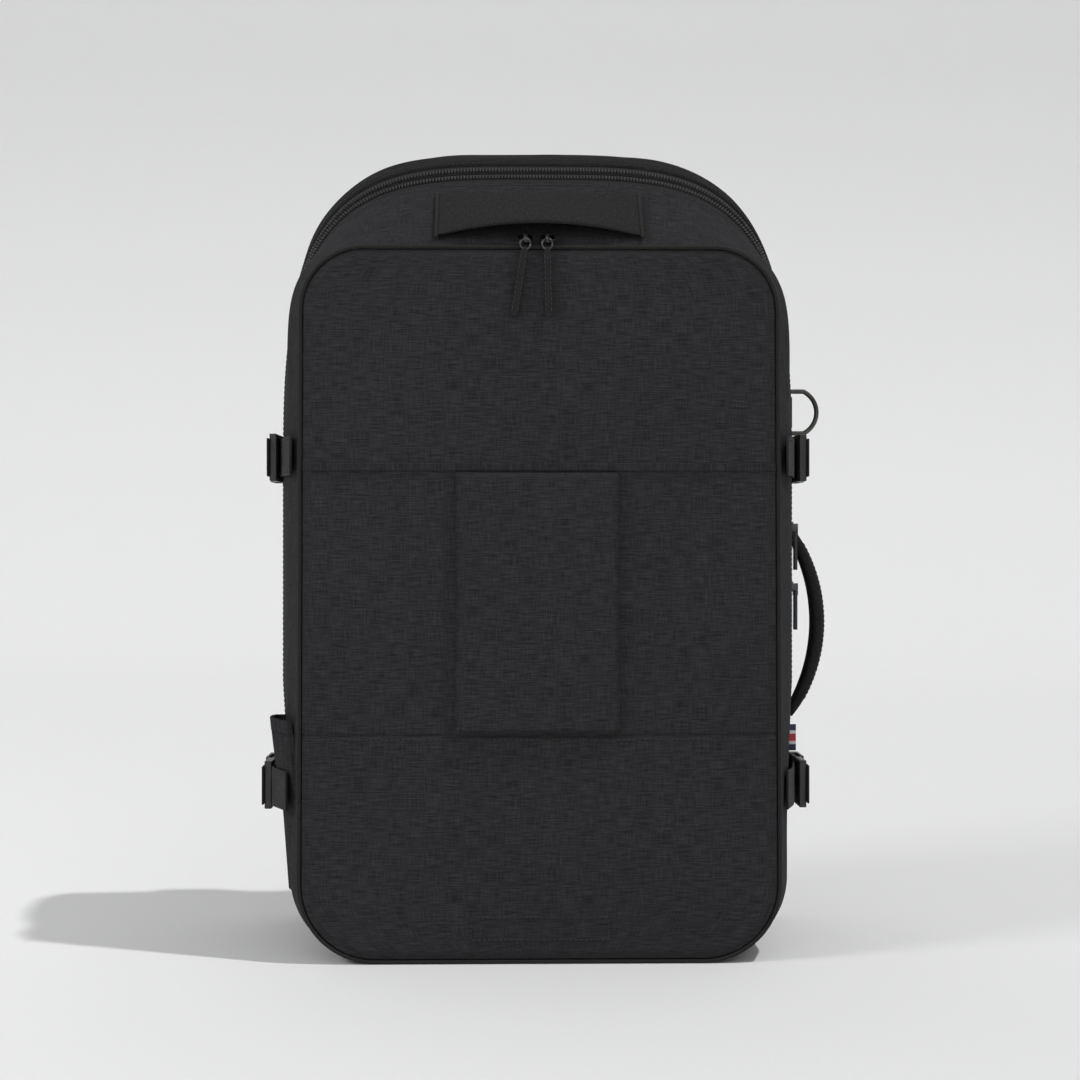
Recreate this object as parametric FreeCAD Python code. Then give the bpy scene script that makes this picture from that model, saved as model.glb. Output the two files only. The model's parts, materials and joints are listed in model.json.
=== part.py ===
"""Cabin-size clamshell travel backpack, standing upright.

Frame: millimetres, +Z up, the front panel faces -Y, +X is the wearer-side right seen from the front.
Origin: the middle of the flat base.  Depths are measured back from the front-most plane.
The sewn bag is two hollow tubs, the lid and the rear shell, that meet at the main zip.
"""
import FreeCAD, Part
import math
import os

V = FreeCAD.Vector
os.makedirs("parts", exist_ok=True)

# ---------------------------------------------------------------- driving dimensions
SHELL_DEPTH = 180.0        # front plane to the flat back of the bag
SIDE_X = 169.0             # half width of the bag where its sides are flat
LOW_X = SIDE_X - 7.5       # half width just above the bottom corners
PANEL_X = SIDE_X - 15.0    # half width of the front panel
PANEL_H = 457.0            # height of the front panel's top seam
TOP_H = 533.0              # height of the bag over the middle of its depth
LEAN = 15.0                # how far the front panel leans back at its top seam
FRONT_Y = -105.0           # the front-most plane
WALL = 3.0                 # padded fabric wall
BACK_WALL = 4.0            # padded back wall
CORNER_LOW = 50.0          # bottom corner radius
CORNER_PANEL = 42.0        # top corner radius of the front panel
SHOULDER_Z = 330.0         # where the sides start to round into the top
LOW_Z = 175.0              # where the sides start to narrow to the bottom
FRONT_POWER, REAR_POWER = 3.6, 3.7   # squareness of the rounded top, in front and behind
CROWN_X = 80.0             # half width of the top's gentle crown
SPLIT_DEPTH = 75.0         # depth of the main zip
ZIP_HALF = 10.0            # width of one zip tape
ZIP_END_Z = 45.0           # the zip stops here, and the base is the fabric hinge
PIPING = 3.0               # front piping, across and deep
PANEL_T = 3.0              # front panel's padded thickness, no deeper than the piping
ZIP_T = 1.2                # thickness of a zip tape behind the front panel
HEM_LOW, HEM_HIGH = 311.6, 317.0
ORGANISER_DEPTH = 30.0     # front face of the wall behind the organiser
ORGANISER_T = 3.0
STRAP_W = 25.0             # compression webbing
STRAP_T = 1.5
BUCKLE_W = STRAP_W + 6.0
UPPER_STRAP_Z, LOWER_STRAP_Z = 322.0, 108.0
POCKET_H = 153.0           # height of the bottle pocket's hem
POCKET_T = 1.2
POCKET_LIFT = 3.2          # how much further out the strap over the pocket runs
POCKET_D0, POCKET_D1 = 13.0, 62.0
POCKET_Z0 = 42.0
POCKET_LOW_X, POCKET_TOP_X = SIDE_X + 3.0, SIDE_X + 6.0
SLEEVE_DEPTH = 146.0       # front face of the laptop divider
SLEEVE_T = 3.0
SLEEVE_H = 385.0
SHEET_T = 1.5              # stiffening sheet in the back
PAD_T = 10.0               # back padding
SHOULDER_T = 11.0          # shoulder strap padding
FIT = 0.3                  # clearance between pieces that move apart
ZIP_GAP = 0.6              # gap between the lid's and the rear shell's zip tapes
SNUG = 0.1                 # gap between pieces sewn side by side

SPLIT_Y = FRONT_Y + SPLIT_DEPTH
BACK_Y = FRONT_Y + SHELL_DEPTH
LEAN_DEG = math.degrees(math.atan(LEAN / PANEL_H))
TALL = 700.0               # taller and wider than the bag, for cutting boxes

# Sections of the bag from front to back: depth, half width, height, height where the shoulder starts,
# and how square the shoulder is.
ZIP_FRONT_DEPTH, ZIP_FRONT_TOP = SPLIT_DEPTH - ZIP_HALF, TOP_H - 30.0
NECK_DEPTH = LEAN + 0.38 * (ZIP_FRONT_DEPTH - LEAN)            # part way up the sloping top strip
NECK_TOP = PANEL_H + 0.364 * (ZIP_FRONT_TOP - PANEL_H)
SECTION_NECK = (NECK_DEPTH, SIDE_X - 6.0, NECK_TOP, SHOULDER_Z + 55.0, FRONT_POWER)
SECTION_ZIP_FRONT = (ZIP_FRONT_DEPTH, SIDE_X, ZIP_FRONT_TOP, SHOULDER_Z - 30.0, FRONT_POWER)
SECTION_SPLIT = (SPLIT_DEPTH, SIDE_X, TOP_H - 19.5, SHOULDER_Z - 30.0, (FRONT_POWER + REAR_POWER) / 2)
SECTION_ZIP_REAR = (SPLIT_DEPTH + ZIP_HALF, SIDE_X, TOP_H - 9.5, SHOULDER_Z - 20.0, REAR_POWER)
SECTION_MIDDLE = (115.0, SIDE_X, TOP_H, SHOULDER_Z, REAR_POWER)
SECTION_BACK = (SHELL_DEPTH - 20.0, SIDE_X, TOP_H + 9.0, SHOULDER_Z, REAR_POWER)
SECTION_END = (SHELL_DEPTH, SIDE_X - 9.0, TOP_H + 2.0, SHOULDER_Z, REAR_POWER)


# ---------------------------------------------------------------- helpers
def box(x0, x1, y0, y1, z0, z1):
    return Part.makeBox(x1 - x0, y1 - y0, z1 - z0, V(x0, y0, z0))


def cylinder(radius, start, end):
    along = end.sub(start)
    return Part.makeCylinder(radius, along.Length, start, along)


def prism(points, along):
    """A closed polygon of vectors pushed along a vector."""
    return Part.Face(Part.makePolygon(points + points[:1])).extrude(along)


def joined(shapes):
    shape = shapes[0].multiFuse(shapes[1:]) if len(shapes) > 1 else shapes[0]
    return shape.removeSplitter()


def group(shapes):
    return Part.makeCompound(shapes)


def mirrored(shape):
    return shape.mirror(V(0, 0, 0), V(1, 0, 0))


def both_sides(shape):
    return group([shape, mirrored(shape)])


def leaned(shape):
    """Tips a piece made on the upright front plane back to the panel's lean."""
    shape = shape.copy()
    shape.rotate(V(0, FRONT_Y + PIPING + SNUG, 0), V(1, 0, 0), -LEAN_DEG)
    return shape


def save(name, shape):
    """Writes one node, checking that every solid in it is closed and sound."""
    solids = shape.Solids
    if not solids or not all(s.isValid() and s.Volume > 0 for s in solids):
        raise ValueError("bad solid in " + name)
    whole = solids[0] if len(solids) == 1 else group(solids)
    whole.exportStep("parts/%s.step" % name)
    size = whole.BoundBox
    print("%-26s %2d solid(s) %9.1f cm3  %.0f x %.0f x %.0f mm" % (
        name, len(solids), whole.Volume / 1000, size.XLength, size.YLength, size.ZLength))


def outline(half, low_half, height, shoulder, power, inset, y, round_panel=False):
    """One closed section in the plane of depth y: base, low corners, sides, shoulders and crown.

    The shoulders follow a superellipse, or a plain arc on the front panel.
    """
    w, lw, top, bottom, r = half - inset, low_half - inset, height - inset, inset, CORNER_LOW - inset
    if round_panel:
        arc_r = CORNER_PANEL - inset
        start, end = V(w, y, top - arc_r), V(w - arc_r, y, top)
        bulge = arc_r * (1 - math.sin(math.pi / 4))
        middle = V(w - bulge, y, top - bulge)
        shoulder_edge = Part.Arc(start, middle, end).toShape()
        crown = Part.LineSegment(end, V(-end.x, y, end.z)).toShape()
    else:
        rise = top - shoulder
        end_z = shoulder + rise * (1 - (CROWN_X / w) ** power) ** (1 / power)
        last = math.atan2(((end_z - shoulder) / rise) ** (power / 2), (CROWN_X / w) ** (power / 2))
        steps = [last * i / 6 for i in range(7)]
        points = [V(w * math.cos(t) ** (2 / power), y, shoulder + rise * math.sin(t) ** (2 / power))
                  for t in steps]
        curve = Part.BSplineCurve()
        curve.interpolate(points)
        shoulder_edge = curve.toShape()
        start, end = points[0], points[-1]
        crown = Part.Arc(end, V(0, y, top), V(-end.x, y, end.z)).toShape()
    corner_c = V(lw - r, y, bottom + r)
    foot, low = V(lw - r, y, bottom), V(lw, y, bottom + r)
    corner_m = corner_c + V(r * math.sin(math.pi / 4), 0, -r * math.sin(math.pi / 4))
    bend = V(w, y, LOW_Z)
    right = [Part.Arc(foot, corner_m, low).toShape(),
             Part.LineSegment(low, bend).toShape(),
             Part.LineSegment(bend, start).toShape(),
             shoulder_edge]
    left = [mirrored(e) for e in right]
    base = Part.LineSegment(V(-foot.x, y, bottom), foot).toShape()
    return Part.Wire(Part.__sortEdges__([base] + right + [crown] + left[::-1]))


def section(spec, inset=0.0, depth=None):
    depth_here = spec[0] if depth is None else depth
    low = min(LOW_X, spec[1])
    return outline(spec[1], low, spec[2], spec[3], spec[4], inset, FRONT_Y + depth_here)


def panel_section(inset=0.0, depth=0.0):
    """The front panel's outline, tipped to its lean."""
    return leaned(outline(PANEL_X, PANEL_X, PANEL_H, 0, 0, inset, FRONT_Y + depth, True))


def loft(wires):
    return Part.makeLoft(wires, True, True)


def panel_slab(inset, depth0, depth1, z0=-1.0, z1=TALL):
    """A slice of the front panel's outline, between two depths and two heights."""
    wire = outline(PANEL_X, PANEL_X, PANEL_H, 0, 0, inset, FRONT_Y + depth0, True)
    solid = Part.Face(wire).extrude(V(0, depth1 - depth0, 0))
    return solid.common(box(-TALL, TALL, FRONT_Y + depth0, FRONT_Y + depth1, z0, z1))


def panel_ring(inset0, inset1, depth0, depth1, z0=-1.0, z1=TALL):
    return panel_slab(inset0, depth0, depth1, z0, z1).cut(panel_slab(inset1, depth0, depth1))


def ribbon(points, thickness, z0, z1):
    """Webbing on edge: (depth, x) points of its inner face, thickened outwards."""
    inner = [V(x, FRONT_Y + d, z0) for d, x in points]
    outer = [V(x + thickness, FRONT_Y + d, z0) for d, x in reversed(points)]
    return prism(inner + outer, V(0, 0, z1 - z0))


# ---------------------------------------------------------------- the two tubs
gusset_front = PIPING + SNUG
lid_outer = loft([panel_section(0, gusset_front), section(SECTION_NECK), section(SECTION_ZIP_FRONT),
                  section(SECTION_SPLIT, 0, SPLIT_DEPTH - ZIP_GAP / 2)])
lid_inner = loft([panel_section(WALL, gusset_front), section(SECTION_NECK, WALL),
                  section(SECTION_ZIP_FRONT, WALL), section(SECTION_SPLIT, WALL, SPLIT_DEPTH - ZIP_GAP / 2)])
rear_outer = loft([section(SECTION_SPLIT, 0, SPLIT_DEPTH + ZIP_GAP / 2), section(SECTION_ZIP_REAR),
                   section(SECTION_MIDDLE), section(SECTION_BACK), section(SECTION_END)])
rear_inner = loft([section(SECTION_SPLIT, WALL, SPLIT_DEPTH + ZIP_GAP / 2), section(SECTION_ZIP_REAR, WALL),
                   section(SECTION_MIDDLE, WALL), section(SECTION_BACK, WALL),
                   section(SECTION_END, WALL, SHELL_DEPTH - BACK_WALL)])
lid_tub = lid_outer.cut(lid_inner)
rear_tub = rear_outer.cut(rear_inner)

zip_space = box(-TALL, TALL, SPLIT_Y - ZIP_HALF, SPLIT_Y + ZIP_HALF, ZIP_END_Z, TALL)
save("lid_gusset", lid_tub.cut(zip_space))
save("main_zip_front", lid_tub.common(zip_space))
save("rear_shell", rear_tub.cut(zip_space))
save("main_zip_rear", rear_tub.common(zip_space))

# ---------------------------------------------------------------- front panel and organiser
panel_inset = PIPING + FIT
save("front_piping", leaned(panel_ring(0, PIPING, 0, PIPING)))
save("lower_panel", leaned(panel_slab(panel_inset, 0, PANEL_T, panel_inset, HEM_LOW - SNUG)))
save("hem_strip", leaned(panel_slab(panel_inset, -1.5, PANEL_T, HEM_LOW, HEM_HIGH)))
save("front_flap_panel", leaned(panel_slab(panel_inset, 0, PANEL_T, HEM_HIGH + FIT)))
flap_tape_back = PANEL_T + ZIP_T
flap_tape = panel_ring(panel_inset + 2, panel_inset + 10, PANEL_T, flap_tape_back, HEM_HIGH + 6)
save("front_zip_flap", leaned(flap_tape))
lid_tape_front = flap_tape_back + FIT
lid_tape = leaned(panel_ring(WALL, WALL + 6, lid_tape_front, lid_tape_front + ZIP_T, HEM_HIGH))
save("front_zip_lid", lid_tape.common(lid_inner))

CENTRE_X0, CENTRE_X1 = -54.0, 51.0     # the raised pocket in the middle of the lower panel
CENTRE_Z0 = 145.0
CENTRE_RAISE = 6.0
CENTRE_FILLET = 2.5
centre = box(CENTRE_X0, CENTRE_X1, FRONT_Y - CENTRE_RAISE, FRONT_Y, CENTRE_Z0, HEM_LOW - 1.0)
face_edges = [e for e in centre.Edges if abs(e.CenterOfMass.y - FRONT_Y + CENTRE_RAISE) < 0.1]
centre = centre.makeFillet(CENTRE_FILLET, face_edges)
save("centre_pocket", leaned(centre))
LABEL_W, LABEL_H, LABEL_Z, LABEL_T = 90.0, 17.0, 22.5, 0.8
save("label_patch", leaned(box(-LABEL_W / 2, LABEL_W / 2, FRONT_Y - LABEL_T, FRONT_Y,
                               LABEL_Z - LABEL_H / 2, LABEL_Z + LABEL_H / 2)))
organiser_slab = box(-TALL, TALL, FRONT_Y + ORGANISER_DEPTH, FRONT_Y + ORGANISER_DEPTH + ORGANISER_T, 0, TALL)
save("organiser_wall", lid_inner.common(organiser_slab))

# ---------------------------------------------------------------- sloping top and its handle
SLOPE = math.atan2(SECTION_ZIP_FRONT[2] - PANEL_H, SECTION_ZIP_FRONT[0] - LEAN)


def on_slope(along, out, x=0.0):
    """A point on the sloping top strip: along it from the front seam, and out from it."""
    return V(x, FRONT_Y + LEAN + along * math.cos(SLOPE) - out * math.sin(SLOPE),
             PANEL_H + along * math.sin(SLOPE) + out * math.cos(SLOPE))


def slope_block(x0, x1, along0, along1, out0, out1):
    corners = [on_slope(along0, out0, x0), on_slope(along1, out0, x0),
               on_slope(along1, out1, x0), on_slope(along0, out1, x0)]
    return prism(corners, V(x1 - x0, 0, 0))


def bow(half, reach, thickness, end):
    """A crescent grip as (across, out) points of two arcs, ending at the height `end`."""
    outer = [(-half, end), (0, reach + thickness), (half, end)]
    inner = [(half - thickness * 0.9, end), (0, reach), (-half + thickness * 0.9, end)]
    return outer, inner


def bow_wire(outer, inner, place):
    """The crescent's closed outline, put in space by place(across, out)."""
    o = [place(*p) for p in outer]
    i = [place(*p) for p in inner]
    return Part.Wire([Part.Arc(*o).toShape(), Part.LineSegment(o[2], i[0]).toShape(),
                      Part.Arc(*i).toShape(), Part.LineSegment(i[2], o[0]).toShape()])


TOP_HANDLE_X = 65.0
HANDLE_FRONT_GAP, HANDLE_REAR_GAP = 9.0, 1.6        # under the lower and the upper edge of the band
HANDLE_FRONT_T, HANDLE_REAR_T = 4.6, 3.4
TOP_HANDLE_A0, TOP_HANDLE_A1 = 8.2, 56.0
HANDLE_LIFT = 0.6
HANDLE_SEAM_W = 2.4
handle_edges = []
for at, gap, thick in ((TOP_HANDLE_A0, HANDLE_FRONT_GAP, HANDLE_FRONT_T),
                       (TOP_HANDLE_A1, HANDLE_REAR_GAP, HANDLE_REAR_T)):
    outer_arc, inner_arc = bow(TOP_HANDLE_X, gap, thick, HANDLE_LIFT)
    handle_edges.append(bow_wire(outer_arc, inner_arc, lambda a, n: on_slope(at, n, a)))
save("top_handle", loft(handle_edges))
seam_x = TOP_HANDLE_X + FIT
top_end = slope_block(seam_x, seam_x + HANDLE_SEAM_W, TOP_HANDLE_A0, TOP_HANDLE_A1, -0.4, 1.4)
save("top_handle_ends", both_sides(top_end))

# ---------------------------------------------------------------- side handle and D-ring on the right
SIDE_HANDLE_Z0, SIDE_HANDLE_Z1 = 147.0, 277.0
SIDE_HANDLE_DEPTH, SIDE_HANDLE_W = 112.0, 18.0
SIDE_HANDLE_GAP, SIDE_HANDLE_T = 15.0, 10.5
PATCH_H, PATCH_T = 13.0, 4.5           # the sewn ends
SIDE_LIFT = 3.5            # hinge line's height off the side, so the band's edges can turn
handle_y = FRONT_Y + SIDE_HANDLE_DEPTH
handle_mid = (SIDE_HANDLE_Z0 + SIDE_HANDLE_Z1) / 2
outer_arc, inner_arc = bow((SIDE_HANDLE_Z1 - SIDE_HANDLE_Z0) / 2, SIDE_HANDLE_GAP + SIDE_LIFT,
                           SIDE_HANDLE_T, SIDE_LIFT)
band_y0, band_y1 = handle_y - SIDE_HANDLE_W / 2, handle_y + SIDE_HANDLE_W / 2
side_bow = bow_wire(outer_arc, inner_arc, lambda a, n: V(SIDE_X + n, band_y0, handle_mid + a))
save("side_handle", Part.Face(side_bow).extrude(V(0, SIDE_HANDLE_W, 0)))
patches = [box(SIDE_X, SIDE_X + PATCH_T, band_y0, band_y1, z0, z0 + PATCH_H)
           for z0 in (SIDE_HANDLE_Z0 - PATCH_H - FIT, SIDE_HANDLE_Z1 + FIT)]
save("side_handle_ends", group(patches))

RING_Z, RING_H, RING_REACH, RING_WIRE = 355.8, 28.8, 20.0, 1.6
RING_DEPTH = 112.0
RING_ROUND = 0.62          # depth of the far side's curve over half its height
LOOP_LENGTH = 28.0         # webbing sewn down behind the ring
ring_x = SIDE_X + 3.6
ring_y = FRONT_Y + RING_DEPTH
half_ring, ring_corner = RING_H / 2, 3.0
leg = ring_x + RING_REACH - half_ring * RING_ROUND


def tube(start, end):
    return cylinder(RING_WIRE, start, end)


def bent_tube(start, middle, end):
    """A round tube swept along the arc through three points."""
    path = Part.Wire(Part.Arc(start, middle, end).toShape())
    tangent = path.Edges[0].tangentAt(path.Edges[0].FirstParameter)
    profile = Part.Wire(Part.Circle(start, tangent, RING_WIRE).toShape())
    return path.makePipeShell([profile], True, True)


ring_parts = [tube(V(ring_x, ring_y, RING_Z - half_ring + ring_corner),
                   V(ring_x, ring_y, RING_Z + half_ring - ring_corner))]
k = ring_corner * (1 - math.sin(math.pi / 4))
for s in (-1, 1):
    far = RING_Z + s * half_ring
    ring_parts.append(tube(V(ring_x + ring_corner, ring_y, far), V(leg, ring_y, far)))
    ring_parts.append(bent_tube(V(ring_x, ring_y, far - s * ring_corner),
                                V(ring_x + k, ring_y, far - s * k), V(ring_x + ring_corner, ring_y, far)))
ring_parts.append(bent_tube(V(leg, ring_y, RING_Z - half_ring), V(ring_x + RING_REACH, ring_y, RING_Z),
                            V(leg, ring_y, RING_Z + half_ring)))
ring_parts += [Part.makeSphere(RING_WIRE, V(leg, ring_y, RING_Z + s * half_ring)) for s in (-1, 1)]
save("d_ring", ring_parts[0].multiFuse(ring_parts[1:]))
loop_z0, loop_z1 = RING_Z - half_ring + ring_corner + 0.8, RING_Z + half_ring - ring_corner - 0.8
loop_r = ring_x - SIDE_X - FIT
ring_loop = joined([cylinder(loop_r, V(ring_x, ring_y, loop_z0), V(ring_x, ring_y, loop_z1)),
                    box(SIDE_X + FIT, SIDE_X + FIT + STRAP_T, ring_y, ring_y + LOOP_LENGTH, loop_z0, loop_z1)])
bar_hole = cylinder(RING_WIRE + FIT, V(ring_x, ring_y, loop_z0 - 5), V(ring_x, ring_y, loop_z1 + 5))
save("d_ring_loop", ring_loop.cut(bar_hole))

# ---------------------------------------------------------------- compression straps, one per corner
STRAP_X = SIDE_X + FIT
BUCKLE_IN, BUCKLE_OUT = STRAP_T + FIT, 8.6
PLATE_IN_T, PLATE_OUT_T = 1.5, 1.8
FEMALE_D0, FEMALE_D1, FEMALE_BLOCK = SPLIT_DEPTH - 3.0, SPLIT_DEPTH + 27.0, 8.0
MALE_D0, MALE_D1 = SPLIT_DEPTH - 29.0, SPLIT_DEPTH - 5.0
PRONG_D1 = FEMALE_D1 - FEMALE_BLOCK - 3.0
ARM_HALF = 2.5             # half width of a spring arm


def female(z, lift):
    """Two plates joined by a rear block; the sides are open, so the prongs can leave."""
    x, half = STRAP_X + lift, BUCKLE_W / 2
    y0, y1 = FRONT_Y + FEMALE_D0, FRONT_Y + FEMALE_D1
    inner = box(x + BUCKLE_IN, x + BUCKLE_IN + PLATE_IN_T, y0, y1, z - half, z + half)
    outer = box(x + BUCKLE_OUT - PLATE_OUT_T, x + BUCKLE_OUT, y0, y1, z - half, z + half)
    block = box(x + STRAP_T, x + BUCKLE_OUT, y1 - FEMALE_BLOCK, y1, z - half, z + half)
    return joined([inner, outer, block])


def male(z, lift):
    """Ladder-lock base with two slots, two spring arms and a centre guide."""
    x, half = STRAP_X + lift, BUCKLE_W / 2
    y0, y1, tip = FRONT_Y + MALE_D0, FRONT_Y + MALE_D1, FRONT_Y + PRONG_D1
    x0, x1 = x + BUCKLE_IN, x + BUCKLE_OUT - PLATE_OUT_T - FIT
    arm_x = x + BUCKLE_IN + PLATE_IN_T + FIT
    base = box(x0, x1, y0, y1, z - half, z + half)
    slots = [box(x0 - 1, x1 + 1, y0 + a, y0 + a + 3.6, z - STRAP_W / 2 - 0.5, z + STRAP_W / 2 + 0.5)
             for a in (4.0, 12.0)]
    arm_z = STRAP_W / 2 - 1
    arms = [box(arm_x, x1, y1 - 0.01, tip, z + s * arm_z - ARM_HALF, z + s * arm_z + ARM_HALF) for s in (-1, 1)]
    guide = box(arm_x, x1, y1 - 0.01, tip - 3, z - ARM_HALF, z + ARM_HALF)
    return joined([base.cut(group(slots))] + arms + [guide])


def tail(z, lift):
    """The webbing folded back over the ladder lock."""
    x = STRAP_X + lift + BUCKLE_OUT - PLATE_OUT_T - FIT
    return box(x, x + STRAP_T, FRONT_Y + MALE_D0 - 3, FRONT_Y + MALE_D0 + 18, z - STRAP_W / 2, z + STRAP_W / 2)


def pocket_front(x_out):
    """(depth, x) of the bottle pocket's front corner and of where it reaches its full bulge."""
    return [(POCKET_D0, x_out - 12), (40.0, x_out)]


def front_webbing(z, lift):
    """From the lid's front seam back along the side, under the buckle."""
    neck_d, neck_x = SECTION_NECK[0], SECTION_NECK[1] + 1.0
    side_d = SPLIT_DEPTH - ZIP_HALF
    route = [(POCKET_D0, PANEL_X + 3.6), (neck_d, neck_x)]
    if lift:
        route = [(d - 0.5, x + FIT) for d, x in pocket_front(POCKET_LOW_X)]
    route += [(side_d, STRAP_X + lift), (side_d + 3.0, STRAP_X + lift)]
    return ribbon(route, STRAP_T, z - STRAP_W / 2, z + STRAP_W / 2)


def rear_webbing(z, lift):
    """From the rear seam forward to the female buckle."""
    points = [(FEMALE_D1 - FEMALE_BLOCK, STRAP_X + lift), (130.0, STRAP_X + lift), (157.0, STRAP_X)]
    return ribbon(points, STRAP_T, z - STRAP_W / 2, z + STRAP_W / 2)


corners = {
    "upper_right": (UPPER_STRAP_Z, 0.0, False),
    "upper_left": (UPPER_STRAP_Z, 0.0, True),
    "lower_right": (LOWER_STRAP_Z, 0.0, False),
    "lower_left": (LOWER_STRAP_Z, POCKET_LIFT, True)}


def placed(shape, flip):
    return mirrored(shape) if flip else shape


for name, (z, lift, flip) in corners.items():
    save("buckle_female_" + name, placed(female(z, lift), flip))
    save("buckle_male_" + name, placed(male(z, lift), flip))
    save("strap_tail_" + name, placed(tail(z, lift), flip))
save("front_webbing", group([placed(front_webbing(z, lift), flip) for z, lift, flip in corners.values()]))
save("rear_webbing", group([placed(rear_webbing(z, lift), flip) for z, lift, flip in corners.values()]))

# ---------------------------------------------------------------- bottle pocket on the left of the lid
POCKET_WAIST_Z = LOWER_STRAP_Z + STRAP_W / 2 + 2
POCKET_ROOT_X = SIDE_X - 29.0      # inside the bag, where the pouch is cut off
POCKET_HEM = 8.0
POCKET_STRAP_Z = LOWER_STRAP_Z - STRAP_W / 2


def pocket_solid(grow):
    """The pouch as stacked slices, bulging above the strap that holds it; grow shrinks it inwards."""
    def slice_at(z, x_out):
        corner, full = pocket_front(x_out)
        y0, y1 = FRONT_Y + corner[0] - grow, FRONT_Y + POCKET_D1 + grow
        points = [V(POCKET_ROOT_X, y0, z), V(corner[1] + grow, y0, z),
                  V(full[1] + grow, FRONT_Y + full[0], z),
                  V(x_out + grow, FRONT_Y + POCKET_D1 - 6, z), V(x_out - 2 + grow, y1, z),
                  V(POCKET_ROOT_X, y1, z)]
        return Part.makePolygon(points + points[:1])
    return loft([slice_at(POCKET_Z0 - grow, LOW_X + 2.0), slice_at(POCKET_STRAP_Z, SIDE_X - 1.5),
                 slice_at(POCKET_WAIST_Z, POCKET_LOW_X), slice_at(POCKET_H, POCKET_TOP_X)])


pocket_hole = pocket_solid(-POCKET_T)
lid_full = loft([panel_section(0, 0), section(SECTION_NECK), section(SECTION_ZIP_FRONT),
                 section(SECTION_SPLIT, 0, SPLIT_DEPTH - ZIP_GAP / 2)])
corner_keep = box(POCKET_ROOT_X - 1, TALL, -TALL, TALL, 0, TALL)
pocket = pocket_solid(0).cut(pocket_hole).cut(lid_full).common(corner_keep)
pocket = max(pocket.Solids, key=lambda s: s.Volume)
hem_band = box(POCKET_ROOT_X - 1, TALL, -TALL, TALL, POCKET_H - POCKET_HEM, POCKET_H + 1)
save("bottle_pocket", mirrored(pocket.cut(hem_band)))
save("bottle_pocket_hem", mirrored(max(pocket.common(hem_band).Solids, key=lambda s: s.Volume)))

# ---------------------------------------------------------------- small side tabs
TAB_H = 18.0
TAB_Z = LOWER_STRAP_Z + BUCKLE_W / 2 + 1.0 + TAB_H / 2      # just above the lower buckle
TAB_DEPTH, TAB_T, TAB_REACH = 97.0, 1.2, 7.5
tab = box(SIDE_X - 1.5, SIDE_X + TAB_REACH, FRONT_Y + TAB_DEPTH, FRONT_Y + TAB_DEPTH + TAB_T,
          TAB_Z - TAB_H / 2, TAB_Z + TAB_H / 2)
save("side_tab", tab.cut(rear_outer))

# ---------------------------------------------------------------- zip sliders and pulls
SLIDER_L, SLIDER_W, SLIDER_T = 6.8, 9.0, 1.6
BRIDGE_T, BRIDGE_H = 2.4, 3.4
PIN_R = 0.75


def slider_body():
    """Slider lying on the XZ plane, nose up, outer face towards -Y, hinge hole at the origin."""
    plate = box(-SLIDER_W / 2, SLIDER_W / 2, BRIDGE_H / 2, BRIDGE_H / 2 + SLIDER_T, 0.5, 0.5 + SLIDER_L)
    plate = plate.makeFillet(2.0, [e for e in plate.Edges if abs(e.Length - SLIDER_T) < 0.01])
    bridge = box(-BRIDGE_T / 2, BRIDGE_T / 2, -BRIDGE_H / 2, BRIDGE_H / 2, -2.0, 6.0)
    hole = cylinder(PIN_R + FIT, V(-5, 0, 0), V(5, 0, 0))
    return joined([plate, bridge]).cut(hole)


def moved(shape, turn_axis, turn, to):
    shape = shape.copy()
    shape.rotate(V(0, 0, 0), turn_axis, turn)
    shape.translate(to)
    return shape


def moulded_pull(length=25.0, width=8.0, thickness=1.8):
    """A pin through the bridge, two cheeks beside it and a flat moulded tab below."""
    pin = cylinder(PIN_R, V(-width / 2, 0, 0), V(width / 2, 0, 0))
    cheeks = [box(s * width / 2 - (0 if s < 0 else 2), s * width / 2 + (2 if s < 0 else 0),
                  -thickness / 2, thickness / 2, -6, 0.9) for s in (-1, 1)]
    tab = box(-width / 2, width / 2, -thickness / 2, thickness / 2, -length, -4.6)
    return joined([pin, tab] + cheeks)


MAIN_SLIDER_X = SIDE_X + FIT + SLIDER_T + BRIDGE_H / 2
MAIN_SLIDERS = {"upper": 273.0, "lower": 233.0}
for name, z in MAIN_SLIDERS.items():
    place = V(MAIN_SLIDER_X, SPLIT_Y, z)
    save("main_slider_" + name, moved(slider_body(), V(0, 0, 1), 90, place))
    save("main_pull_" + name, moved(moulded_pull(), V(0, 0, 1), 90, place))

RING_PULL_R, RING_PULL_WIRE = 3.3, 0.75
PULL_W, PULL_T, PULL_LENGTH = 5.0, 1.8, 46.0
FRONT_SLIDER_OUT = SLIDER_T + BRIDGE_H / 2 + 0.5


def ring_and_tape(slant):
    """Split ring through the bridge, and the fabric pull that hangs from it."""
    ring = Part.makeTorus(RING_PULL_R, RING_PULL_WIRE, V(0, 0, -RING_PULL_R), V(0, 1, 0))
    top = -2 * RING_PULL_R + 1.6
    tape = box(-PULL_W / 2, PULL_W / 2, -PULL_T / 2, PULL_T / 2, top - PULL_LENGTH, top)
    tape = tape.makeFillet(0.8, [e for e in tape.Edges if abs(e.Length - PULL_LENGTH) < 0.01])
    tape = tape.cut(ring)
    tape.rotate(V(0, 0, -RING_PULL_R), V(0, 1, 0), slant)
    return ring, tape


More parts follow.
